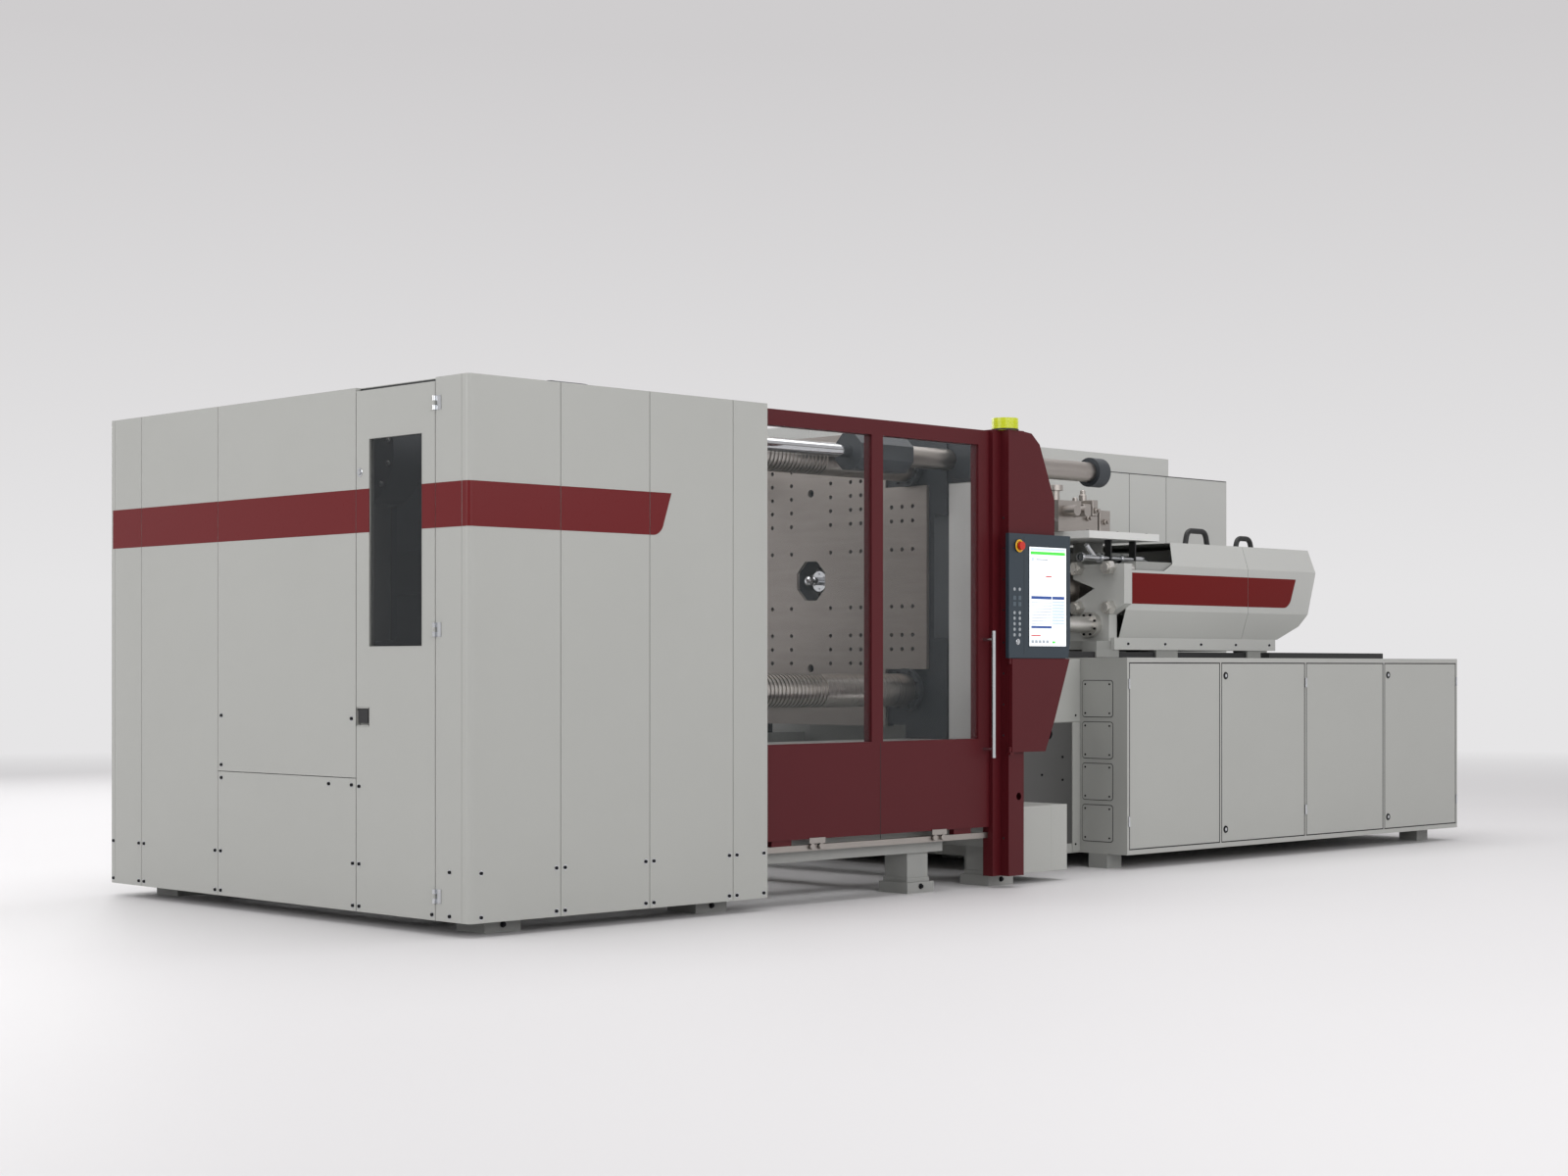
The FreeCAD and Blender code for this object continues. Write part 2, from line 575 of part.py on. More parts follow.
END_PANELS = {
    "strip": ("corner_return", "door_hinge_line", "panel_bottom", "housing_top"),
    "upper": ("door_free_edge", "end_joint_3", "split_height", "housing_top"),
    "lower": ("door_free_edge", "end_joint_3", "panel_bottom", "split_height"),
    "rear": ("end_joint_3", "end_joint_4", "panel_bottom", "housing_top"),
    "rear_strip": ("end_joint_4", "housing_width - corner_return", "panel_bottom", "housing_top"),
}
end_panels = []
for label, (low_y, high_y, low_z, high_z) in END_PANELS.items():
    top = high_z if high_z == "housing_top" else high_z + " - seam / 2"
    bottom = low_z if low_z == "panel_bottom" else low_z + " + seam / 2"
    end_panels.append(tray("end_panel_" + label, lip, (low_y + " + seam / 2", high_y + " - seam / 2"),
                           (bottom, top), "+x"))

roof_z = ("housing_top - gauge", "housing_top")
roof_y = ("fold + frame_gap", "housing_width - fold - frame_gap")
roof = [block("roof_1", ("fold + frame_gap", "side_joint_1 - seam"), roof_y, roof_z),
        block("roof_2", ("side_joint_1", "roof_opening - seam"), roof_y, roof_z)]
for n, span in enumerate(((roof_y[0], "roof_side"), ("housing_width - roof_side", roof_y[1]))):
    roof.append(block("roof_side_%d" % n, ("roof_opening", "housing_length"), span, roof_z))
sub_part(group("rear_and_roof_set", rear_panels, *roof), "rear_and_roof_panels")

flat = ("fold", "fold + frame_flat")
frame = [block("frame_sill", ("fold", "housing_length - gauge"), flat,
               ("panel_bottom + gauge", "sill_top")),
         block("frame_head", ("fold", "housing_length - gauge"), flat,
               ("frame_top", "housing_top - gauge"))]
for n, joint in enumerate(joints):
    middle = joint if n < 3 else joint + " - frame_bar / 2 - gauge"
    frame.append(block("frame_upright_%d" % n, (middle + " - frame_bar / 2",
                                                middle + " + frame_bar / 2 - seam / 2"),
                       flat, ("panel_bottom + gauge", "housing_top - gauge")))
upright_z = ("panel_bottom + gauge", "housing_top - gauge")
frame.append(block("frame_corner", ("fold", "fold + post_side"), flat, upright_z))
frame.append(block("roof_rail", ("fold", "housing_length"), ("roof_rail_y", "roof_rail_y + roof_beam"),
                   ("frame_top", "housing_top - gauge")))
frame.append(block("rail_post", ("housing_length - post_side", "housing_length"),
                   ("roof_rail_y", "roof_rail_y + post_side"), ("cross_high", "housing_top - gauge")))
for n, place in enumerate(("foot_1_x", "foot_2_x")):
    frame.append(block("sill_bracket_%d" % n, (place, place + " + leg_side"), ("fold", "cross_end"),
                       ("cross_low", "cross_high - post_side")))
    frame.append(block("sill_tie_%d" % n, (place, place + " + leg_side"), flat,
                       ("sill_top", "cross_high - post_side")))
end = ("fold", "fold + post_side")
for n, (place, width) in enumerate((("roof_rail_y", "post_side"), ("door_free_edge", "post_side"))):
    frame.append(block("end_post_%d" % n, end, (place, place + " + " + width),
                       ("panel_bottom + gauge", "housing_top - gauge")))
frame_side = join("frame_side", *frame)
cross_span = ("fold", "housing_width - fold")
middle_frame = [
    block("end_sill", end, cross_span, ("panel_bottom + gauge", "sill_top")),
    block("end_head", end, cross_span, ("frame_top", "housing_top - gauge")),
    block("end_middle", end, ("door_free_edge", "end_joint_3 + post_side"),
          ("split_height - frame_bar / 2", "split_height + frame_bar / 2")),
    block("end_post_middle", end, ("end_joint_3", "end_joint_3 + post_side"),
          ("panel_bottom + gauge", "housing_top - gauge")),
]
for n, joint in enumerate(("side_joint_1", "roof_opening - roof_beam / 2")):
    middle_frame.append(block("roof_beam_%d" % n, (joint + " - roof_beam / 2",
                                                   joint + " + roof_beam / 2"),
                              ("roof_rail_y", "housing_width - roof_rail_y"), ("frame_top",
                                                                               "housing_top - gauge")))
sub_part(join("frame_solid", frame_side, mirrored("frame_rear", frame_side), *middle_frame),
         "housing_frame")

# ---------------------------------------------------------------- end door

enter(
    door_thickness=24, door_top=2150, window_low=1123, window_high=1953, window_near=299,
    window_far=645, glass=6, hinge_height=55, hinge_pin=7, hinge_leaf=38, hinge_leaf_gauge=3,
    hinge_low=151, hinge_middle=1185, hinge_high=2065, latch_near=651, latch_far=731,
    latch_low=807, latch_high=874, latch_depth=18, latch_rim=8, lock_y=712, lock_z=1823,
    lock_barrel=11, lock_proud=6,
)
door_y = ("door_hinge_line + seam", "door_free_edge - seam")
shell = tray("door_shell", ("0", "door_thickness"), door_y, ("panel_bottom", "door_top"), "+x")
window = ("(window_near)", "(window_far)")
rim = block("window_rim_outer", ("gauge", "door_thickness - gauge"),
            ("window_near - wall", "window_far + wall"),
            ("window_low - wall", "window_high + wall"))
cup = block("latch_cup_outer", ("gauge", "door_thickness"), ("latch_near - wall", "latch_far + wall"),
            ("latch_low - wall", "latch_high + wall"))
boss = bar("lock_boss", "x", ("gauge", "door_thickness"), ("lock_y", "lock_z"), "lock_barrel + wall")
door_tools = [
    block("window_hole", ("-%d" % THROUGH, "door_thickness + %d" % THROUGH),
          ("window_near", "window_far"),
          ("window_low", "window_high")),
    block("latch_hole", ("-%d" % THROUGH, "latch_depth"), ("latch_near", "latch_far"),
          ("latch_low", "latch_high")),
    bar("lock_hole", "x", ("-%d" % THROUGH, "door_thickness + %d" % THROUGH), ("lock_y", "lock_z"),
        "lock_barrel + 0.05"),
]
end_door_leaf = cut("end_door_leaf", join("end_door_solid", shell, rim, cup, boss), *door_tools)
sub_part(block("door_glass", ("gauge + 2", "gauge + 2 + glass"), window, ("window_low", "window_high")),
         "end_door_window")
HINGES = ["hinge_low", "hinge_middle", "hinge_high"]
fixed_leaves = []
swing_leaves = []
for n, height in enumerate(HINGES):
    third = "hinge_height / 3"
    axis = ("-hinge_pin", "door_hinge_line")
    leaf_x = ("-hinge_leaf_gauge", "0")
    low, high = "%s - hinge_height / 2" % height, "%s + hinge_height / 2" % height
    pin = bar("hinge_pin_%d" % n, "z", (low, high), axis, "hinge_pin / 2")
    knuckles = [bar("knuckle_%d_%d" % (n, k), "z", (a, b), axis, "hinge_pin") for k, (a, b) in
                enumerate(((low, low + " + " + third), (high + " - " + third, high)))]
    leaf = block("fixed_leaf_%d" % n, leaf_x, ("door_hinge_line - hinge_leaf", "door_hinge_line"),
                 (low, high))
    notch = bar("leaf_notch_%d" % n, "z", (low + " + " + third, high + " - " + third), axis,
                "hinge_pin + slack")
    fixed_leaves.append(join("fixed_hinge_%d" % n, cut("fixed_leaf_cut_%d" % n, leaf, notch), pin,
                             *knuckles))
    middle = (low + " + " + third + " + slack", high + " - " + third + " - slack")
    knuckle = bar("door_knuckle_%d" % n, "z", middle, axis, "hinge_pin")
    leaf = block("door_leaf_%d" % n, leaf_x, ("door_hinge_line", "door_hinge_line + hinge_leaf"),
                 (low, high))
    clear_low = bar("leaf_clear_low_%d" % n, "z", (low + " - 1", middle[0]), axis, "hinge_pin + slack")
    clear_high = bar("leaf_clear_high_%d" % n, "z", (middle[1], high + " + 1"), axis, "hinge_pin + slack")
    bore = bar("knuckle_bore_%d" % n, "z", (low, high), axis, "hinge_pin / 2 + 0.05")
    joined = join("door_hinge_join_%d" % n, knuckle, cut("door_leaf_cut_%d" % n, leaf, clear_low,
                                                         clear_high))
    swing_leaves.append(cut("door_hinge_%d" % n, joined, bore))
sub_part(group("fixed_hinge_set", *fixed_leaves), "door_hinges")
sub_part(group("end_door_set", end_door_leaf, *swing_leaves), "end_door")

paddle = block("paddle_body", ("2", "8"), ("latch_near + latch_rim", "latch_far - latch_rim"),
               ("latch_low + latch_rim", "latch_high - 2"))
paddle_pin = bar("paddle_pin", "y", ("latch_near + slack", "latch_far - slack"),
                 ("5", "latch_high - latch_rim"), "3")
sub_part(join("paddle", paddle, paddle_pin), "door_latch")
sub_part(join("door_lock_solid",
              bar("lock_cylinder", "x", ("-lock_proud", "door_thickness + 2"), ("lock_y", "lock_z"),
                  "lock_barrel"),
              bar("lock_cam", "x", ("door_thickness + 0.5", "door_thickness + 4"), ("lock_y", "lock_z"),
                  "lock_barrel + 4")), "door_lock")

# ---------------------------------------------------------------- sliding gates

enter(
    gate_start=1560, gate_end=3104, gate_front=50, gate_depth=48, gate_low=289, gate_top=2152,
    gate_beam=70, skirt_top=705, mullion_start=2298, mullion_end=2372, left_stile=80, right_stile=78,
    pane_inset=12, pane=5, handle_x=3065, handle_low=616, handle_high=1210, handle_radius=10,
    handle_stand=60, runner_length=120, runner_inset=120, runner_gap=0.4, rail_depth=30, rail_inset=10,
    rail_height=26, rail_start=140, guide_gap=6, guide_depth=8, guide_low=2090, guide_high=2140,
    post_start=3162, post_end=3272, post_back=90, post_low=57, post_top=2157, strip_start=3105,
    strip_front=30, post_hole_z=430, post_hole_radius=18,
)
gate_y = ("gate_front", "gate_front + gate_depth")
through_y = ("gate_front - %d" % THROUGH, "gate_front + gate_depth + %d" % THROUGH)
PANES = [("gate_start + left_stile", "mullion_start"), ("mullion_end", "gate_end - right_stile")]
pane_z = ("skirt_top", "gate_top - gate_beam")
body = block("gate_body", ("gate_start", "gate_end"), gate_y, ("gate_low", "gate_top"))
tools = [block("gate_opening_%d" % n, span, through_y, pane_z) for n, span in enumerate(PANES)]
tools.append(block("skirt_hollow", ("gate_start + left_stile", "gate_end - right_stile"),
                   ("gate_front + gauge", through_y[1]), ("gate_low + rail_height",
                                                          "skirt_top - rail_height")))
runners = []
for n, place in enumerate(("gate_start + runner_inset", "gate_end - runner_inset - runner_length")):
    runners.append(block("runner_%d" % n, (place, place + " + runner_length"),
                         ("gate_front + rail_inset", "gate_front + rail_inset + rail_depth"),
                         ("gate_low - rail_height + runner_gap", "gate_low")))
gate = join("gate_leaf", cut("gate_frame", body, *tools), *runners)
sub_part(gate, "operator_gate")
panes = [block("pane_%d" % n, span, ("gate_front + pane_inset", "gate_front + pane_inset + pane"), pane_z)
         for n, span in enumerate(PANES)]
sub_part(group("pane_set", *panes), "operator_gate_windows")
grip_y = "gate_front - handle_stand"
grip = bar("handle_bar", "z", ("handle_low", "handle_high"), ("handle_x", grip_y), "handle_radius")
stands = [bar("handle_stand_%d" % n, "y", (grip_y, "gate_front"), ("handle_x", place),
              "handle_radius - 2")
          for n, place in enumerate(("handle_low + 40", "handle_high - 40"))]
handle = join("handle_solid", grip, *stands)
sub_part(handle, "operator_gate_handle")
gate_again = join("gate_pattern", cut("gate_frame_pattern", body, *tools), *runners)
handle_again = join("handle_pattern", grip, *stands)
sub_part(group("rear_gate_set", mirrored("rear_gate_leaf", gate_again),
               mirrored("rear_handle", handle_again)),
         "rear_gate")
sub_part(mirrored("rear_panes", group("pane_pattern", *panes)), "rear_gate_windows")

rail_y = ("gate_front + rail_inset", "gate_front + rail_inset + rail_depth")
rail_z = ("gate_low - 2 * rail_height", "gate_low - rail_height")
pieces = [block("lower_rail", ("rail_start", "gate_end"), rail_y, rail_z)]
for n in (0, 1, 2):
    pieces.append(block("rail_bracket_%d" % n, (FEET[n], FEET[n] + " + leg_side"),
                        (rail_y[1], "cross_end"), rail_z))
lower_rail = join("lower_rail_set", *pieces)
guide_y = ("gate_front + gate_depth + guide_gap", "gate_front + gate_depth + guide_gap + guide_depth")
pieces = [block("guide_rail", ("rail_start", "post_end"), guide_y, ("guide_low", "guide_high"))]
for n, joint in enumerate(("side_joint_1", "side_joint_2", "side_joint_3")):
    pieces.append(block("guide_bracket_%d" % n, (joint, joint + " + post_side"),
                        (guide_y[1], "roof_rail_y"),
                        ("frame_top", "guide_high")))
pieces.append(block("guide_post_bracket", ("post_start", "post_end"), ("post_back", guide_y[0]),
                    ("guide_low", "guide_high")))
rails = group("rail_near", lower_rail, join("guide_rail_set", *pieces))
rails_again = group("rail_pattern", lower_rail, doc.getObject("guide_rail_set"))
sub_part(group("rail_set", rails, mirrored("rail_rear", rails_again)), "gate_rails")

# ---------------------------------------------------------------- control column

column_y = ("-post_proud", "post_back")
post_z = ("post_low", "post_top")
column = tube("column", ("post_start", "post_end"), column_y, post_z, "z")
strip = block("strip", ("strip_start", "post_start"), ("strip_front", "post_back"), post_z)
cap = block("column_cap", ("post_start", "post_end"), column_y, ("post_top - wall", "post_top"))
hole = bar("column_hole", "y", ("-post_proud - 5", "0"),
           ("post_end - 2 * post_hole_radius", "post_hole_z"),
           "post_hole_radius")
bracket = block("column_bracket", ("foot_4_x", "post_end"), ("post_back", "cross_end"),
                ("cross_low", "cross_high"))
near_column = join("control_column", cut("column_drilled", column, hole), strip, cap, bracket)
rear_column = join("rear_column_solid", column, strip, cap, bracket)
sub_part(group("column_pair", near_column, mirrored("rear_column", rear_column)), "gate_posts")

enter(
    fairing_end=3500, fairing_low=1670, fairing_bend=1840, fairing_mid_x=3390, fairing_mid_z=2100,
    fairing_tip_x=3330, fairing_back=60, hatch_end=3590, hatch_low=640, hatch_high=1080,
    hatch_bend_x=3476, hatch_bend_z=790, hatch_toe_x=3415, hatch_toe_z=660, hatch_front=42,
    hatch_back=22, hatch_pin_x=3157, hatch_pin_y=32, hatch_pin=4, hatch_knuckle=8, knuckle_length=25,
    panel_start=3140, panel_end=3595, panel_low=1083, panel_top=1670, panel_front=40, panel_back=60,
    panel_slant=14, screen_start=3290, screen_end=3564, screen_low=1140, screen_high=1610,
    screen_depth=3, stop_x=3210, stop_z=1611, stop_radius=20, stop_cap=13, stop_ring=26,
    stop_ring_depth=6, stop_stem=8, key_x=3205, key_z=1160, key_radius=9, key_proud=6,
    beacon_x=3200, beacon_y=35, beacon_radius=62, beacon_height=50,
)


def cover(name, outline, inset_outline, front, back):
    """A hollow cover with its front towards the operator, drawn in elevation."""
    solid = plate(name + "_solid", "xz", outline, front, back)
    hollow = plate(name + "_hollow", "xz", inset_outline, "%s + gauge" % front, "%s + 5" % back)
    return cut(name, solid, hollow)


upper = [("post_end", "fairing_low"), ("fairing_end", "fairing_low"), ("fairing_end", "fairing_bend"),
         ("fairing_mid_x", "fairing_mid_z"), ("fairing_tip_x", "post_top - 8"), ("post_end",
                                                                                 "post_top - 2")]
inset = [("post_end + wall", "fairing_low + wall"), ("fairing_end - wall", "fairing_low + wall"),
         ("fairing_end - wall", "fairing_bend"), ("fairing_mid_x - wall", "fairing_mid_z - wall"),
         ("fairing_tip_x - wall", "post_top - 8 - wall"), ("post_end + wall", "post_top - 2 - wall")]
fairing = cover("upper_fairing", upper, inset, "-post_proud", "fairing_back")
lower = [("post_end", "hatch_low + wall"), ("hatch_toe_x - 2 * wall", "hatch_low + wall"),
         ("hatch_toe_x", "hatch_toe_z"), ("hatch_bend_x", "hatch_bend_z"), ("hatch_end - wall",
                                                                            "panel_low"),
         ("post_end", "panel_low")]
inset = [("post_end + wall", "hatch_low + 2 * wall"), ("hatch_toe_x - 3 * wall", "hatch_low + 2 * wall"),
         ("hatch_toe_x - wall", "hatch_toe_z"), ("hatch_bend_x - wall", "hatch_bend_z"),
         ("hatch_end - 2 * wall - 2", "panel_low - wall"), ("post_end + wall", "panel_low - wall")]
box = cover("lower_box", lower, inset, "-post_proud", "fairing_back")
hatch_axis = ("hatch_pin_x", "-hatch_pin_y")
pins = [bar("hatch_pin_low", "z", ("hatch_low - knuckle_length / 2", "hatch_low + knuckle_length / 2"),
            hatch_axis, "hatch_pin"),
        bar("hatch_pin_high", "z", ("hatch_high - knuckle_length / 2", "panel_low"), hatch_axis,
            "hatch_pin"),
        block("hatch_bracket", ("hatch_pin_x - hatch_knuckle", "post_start + 12"),
              ("-hatch_front", "-post_proud"),
              ("hatch_low - knuckle_length / 2", "hatch_low - slack"))]
sub_part(group("fairing_set", fairing, box, join("low_pin", pins[0], pins[2]), pins[1]),
         "post_fairing")

front = [("post_start", "hatch_low"), ("hatch_toe_x - 2 * wall", "hatch_low"),
         ("hatch_toe_x", "hatch_toe_z"),
         ("hatch_bend_x", "hatch_bend_z"), ("hatch_end", "hatch_high"), ("post_start", "hatch_high")]
inset = [("post_start + wall", "hatch_low + wall"), ("hatch_toe_x - 3 * wall", "hatch_low + wall"),
         ("hatch_toe_x - wall", "hatch_toe_z"), ("hatch_bend_x - wall", "hatch_bend_z"),
         ("hatch_end - 2 * wall", "hatch_high - wall"), ("post_start + wall", "hatch_high - wall")]
leaf = cover("hatch_leaf", front, inset, "-hatch_front", "-hatch_back")
knuckles = [bar("hatch_knuckle_%d" % n, "z", span, hatch_axis, "hatch_knuckle") for n, span in enumerate((
    ("hatch_low", "hatch_low + knuckle_length"), ("hatch_high - knuckle_length", "hatch_high")))]
bore = bar("hatch_bore", "z", ("hatch_low - 5", "hatch_high + 5"), hatch_axis, "hatch_pin + 0.05")
sub_part(cut("hatch", join("hatch_join", leaf, *knuckles), bore), "control_hatch")

face = [("panel_start", "panel_low"), ("panel_end - panel_slant", "panel_low"),
        ("panel_end", "panel_low + 80"),
        ("panel_end", "panel_top"), ("panel_start", "panel_top")]
shell = plate("panel_face", "xz", face, "-panel_front", "-post_proud")
rear_box = block("panel_box", ("post_end", "panel_end - 2 * panel_slant"), ("-post_proud", "panel_back"),
                 ("panel_low", "panel_top"))
ring = bar("stop_seat", "y", ("-panel_front - stop_ring_depth", "-panel_front"), ("stop_x", "stop_z"),
           "stop_ring")
tools = [block("screen_pocket", ("screen_start", "screen_end"),
               ("-panel_front - 5", "-panel_front + screen_depth"),
               ("screen_low", "screen_high")),
         bar("stop_bore", "y", ("-front_reach", "-post_proud - 2"), ("stop_x", "stop_z"),
             "stop_stem + 0.05"),
         bar("key_bore", "y", ("-front_reach", "-post_proud - 2"), ("key_x", "key_z"),
             "key_radius + 0.05")]
sub_part(cut("panel_housing", join("panel_solid", shell, rear_box, ring), *tools), "control_panel")
sub_part(block("screen_glass", ("screen_start", "screen_end"),
               ("-panel_front", "-panel_front + screen_depth"),
               ("screen_low", "screen_high")), "control_screen")
cap = bar("stop_cap", "y", ("-front_reach", "-front_reach + stop_cap"), ("stop_x", "stop_z"),
          "stop_radius")
stem = bar("stop_stem", "y", ("-front_reach + stop_cap", "-post_proud - 8"), ("stop_x", "stop_z"),
           "stop_stem")
sub_part(join("stop_button", cap, stem), "emergency_stop")
sub_part(bar("key_switch_barrel", "y", ("-panel_front - key_proud", "-post_proud - 3"),
             ("key_x", "key_z"),
             "key_radius"), "key_switch")
lamp = bar("beacon_lamp", "z", ("post_top + 8", "post_top + 8 + beacon_height"), ("beacon_x", "beacon_y"),
           "beacon_radius")
foot = bar("beacon_foot", "z", ("post_top", "post_top + 8"), ("beacon_x", "beacon_y"),
           "beacon_radius - 8")
sub_part(join("beacon_solid", lamp, foot), "beacon")

enter(
    guard_start=3240, guard_gap=5, guard_low=690, guard_high=1930, rear_guard_width=195,
    drip_start=3360, drip_end=3620, drip_low=50, drip_high=370, drip_front=100,
)
guard_x = ("guard_start", "guard_start + fold")
guards = [tray("guard_near", guard_x, ("post_back", "centre_y - cast_half_width - guard_gap"),
               ("guard_low", "guard_high"), "+x"),
          tray("guard_rear", guard_x, ("housing_width - post_back - rear_guard_width",
                                       "housing_width - post_back"),
               ("guard_low", "guard_high"), "+x"),
          tray("drip_box", ("drip_start", "drip_end"), ("drip_front", "beam_near"),
               ("drip_low", "drip_high"), "-z")]
sub_part(group("fixed_panel_set", *(end_panels + guards)), "end_and_guard_panels")

# ---------------------------------------------------------------- injection base and its doors

enter(
    base_start=4420, base_front=250, base_back=1900, base_low=75, base_top=1090, trim_height=28,
    door_depth=24, stile_width=20, base_foot_x=4480, base_foot_pitch=3000, base_foot_y=440,
    base_foot=120, bridge_start=3804, bridge_front=560, bridge_back=1930, bridge_top=1000,
    port_x=4032, port_z=540, port_radius=78, port_depth=60,
    door_pin=3, door_pin_offset=6, door_pin_length=30, cam_radius=13, cam_offset=32,
    quarter_lock=9, quarter_proud=4, lock_stem=14,
)
base_x = ("base_start", "machine_length")
skin_y = ("base_front + door_depth", "base_back")
base_z = ("base_low", "base_top")
outer = block("base_outer", base_x, skin_y, base_z)
inner = block("base_inner", ("base_start + wall", "machine_length - wall"),
              ("base_front + door_depth + wall", "base_back - wall"), ("base_low + wall",
                                                                       "base_top - wall"))
door_count = 4
pitch = "((machine_length - base_start - stile_width) / %d)" % door_count
stiles = ["base_start + %s * %d" % (pitch, n) for n in range(door_count + 1)]
frame = [block("base_stile_%d" % n, (place, place + " + stile_width"),
               ("base_front", "base_front + door_depth"),
               base_z) for n, place in enumerate(stiles)]
front_y = ("base_front", "base_front + door_depth")
frame.append(block("base_trim", base_x, front_y, ("base_top - trim_height", "base_top")))
frame.append(block("base_kick", base_x, front_y, ("base_low", "base_low + trim_height")))
doors = []
openings = []
door_z = ("base_low + trim_height + seam", "base_top - trim_height - seam")


def cabinet_door(tag, low_x, high_x, front, z, hinge_low):
    """A folded door with two pin bosses at its hinged edge, and the two pins it turns on."""
    leaf = tray(tag + "_tray", (low_x, high_x), (front, front + " + door_depth"), z, "+y")
    edge = low_x + " + door_pin_offset" if hinge_low else high_x + " - door_pin_offset"
    centre = (edge, front + " + door_pin_offset")
    half = "door_pin_length / 2"
    spans = ((z[0], z[0] + " + " + half), (z[1] + " - " + half, z[1]))
    bosses = [bar("%s_boss_%d" % (tag, n), "z", span, centre, "door_pin_offset") for n,
              span in enumerate(spans)]
    bore = bar(tag + "_bore", "z", (z[0] + " - 5", z[1] + " + 5"), centre, "door_pin + 0.05")
    door = cut(tag + "_leaf", join(tag + "_join", leaf, *bosses), bore)
    ends = ((z[0] + " - " + half, z[0] + " + " + half), (z[1] + " - " + half, z[1] + " + " + half))
    pins = [bar("%s_pin_%d" % (tag, n), "z", span, centre, "door_pin") for n, span in enumerate(ends)]
    return door, pins


locks = []
for n in range(door_count):
    low_x, high_x = stiles[n] + " + stile_width + seam", stiles[n + 1] + " - seam"
    tag = "base_door_%d" % (n + 1)
    hinge_low = n % 2 == 0
    door, pins = cabinet_door(tag, low_x, high_x, "base_front", door_z, hinge_low)
    frame += pins
    if not hinge_low:
        lock_x = low_x + " + cam_offset"
        for m, place in enumerate((door_z[0] + " + 2 * cam_offset", door_z[1] + " - 2 * cam_offset")):
            centre = (lock_x, place)
            stem = bar("lock_stem_%d_%d" % (n, m), "y", ("base_front - quarter_proud",
                                                         "base_front + lock_stem"),
                       centre, "quarter_lock")
            cam = bar("lock_cam_%d_%d" % (n, m), "y", ("base_front + gauge + slack",
                                                       "base_front + lock_stem"),
                      centre, "cam_radius")
            locks.append(join("quarter_turn_%d_%d" % (n, m), stem, cam))
            hole = bar("lock_bore_%d_%d" % (n, m), "y", ("base_front - 5", "base_front + gauge + 5"),
                       centre,
                       "quarter_lock + 0.05")
            door = cut("%s_bored_%d" % (tag, m), door, hole)
    doors.append(door)
    openings.append(block("base_opening_%d" % n, (stiles[n] + " + stile_width", stiles[n + 1]),
                          ("base_front", "base_front + door_depth + wall + 5"),
                          ("base_low + trim_height", "base_top - trim_height")))
bridge = block("bridge_outer", ("bridge_start", "base_start"), ("bridge_front", "bridge_back"),
               ("base_low", "bridge_top"))
bridge_core = block("bridge_core", ("bridge_start + wall", "base_start - wall"),
                    ("bridge_front + port_depth", "bridge_back - wall"), ("base_low + wall",
                                                                          "bridge_top - wall"))
port = bar("bridge_port", "y", ("bridge_front - 5", "bridge_front + port_depth + 5"),
           ("port_x", "port_z"),
           "port_radius")
base = join("base_solid", cut("base_shell", outer, inner, *openings), *frame)
sub_part(join("base_whole", base, cut("bridge_shell", bridge, bridge_core, port)), "injection_base")
for n, door in enumerate(doors):
    sub_part(door, "base_door_%d" % (n + 1))
for n, lock in enumerate(locks):
    sub_part(lock, "quarter_turn_lock_%d" % (n + 1))

for n in range(2):
    for m, low in enumerate(("base_foot_y", "base_back - base_foot_y")):
        x = "base_foot_x + base_foot_pitch * %d" % n
        feet.append(block("base_foot_%d_%d" % (n, m), (x + " - base_foot / 2", x + " + base_foot / 2"),
                          (low + " - base_foot / 2", low + " + base_foot / 2"), ("0", "base_low")))
sub_part(group("foot_set", *feet), "levelling_feet")

# ---------------------------------------------------------------- injection unit

enter(
    rail_near=900, rail_width=80, rail_rise=35, unit_rail_start=4560, unit_rail_end=7300,
    block_length=200, block_1=4980, block_2=5520, block_3=6400, block_side=10, block_drop=28,
    saddle_start=5000, saddle_end=6650, saddle_low=1137, saddle_high=1185, saddle_half=430,
    front_face=5110, front_depth=70, front_half=535, front_top=1610, front_leg=430, leg_top=1330,
    front_web=1300, notch_half=180, notch_tip=330, notch_upper=1530, notch_lower=1400,
    barrel_start=3700, cover_radius=120, barrel_outer=85, barrel_inner=42, cover_end=5060,
    feed_start=5300, feed_end=5640, feed_half=200, feed_low=1185, feed_top=1748, throat=45,
    nozzle_tip=3330, nozzle_neck=3480, nozzle_small=20, nozzle_flange=75, flange_depth=30,
    screw_radius=41.5, screw_tip=3760, drive_start=6000, drive_depth=120, drive_half=380,
    motor_radius=170, motor_end=6600, tie_half=220, tie_offset=330, hood_side=485, tie_radius=25,
    tie_wall=5, nut_flat=40,
    traverse_y=310, traverse_z=1275, traverse_radius=45, traverse_bore=38, traverse_rod=28,
    traverse_start=4300, traverse_end=5000, flange_radius=70, cylinder_flange=40,
)
RAILS = ("rail_near", "housing_width - rail_near - rail_width")
unit_rails = [block("unit_rail_%d" % n, ("unit_rail_start", "unit_rail_end"),
                    (low, low + " + rail_width"),
                    ("base_top", "base_top + rail_rise")) for n, low in enumerate(RAILS)]
sub_part(group("unit_rail_set", *unit_rails), "injection_rails")

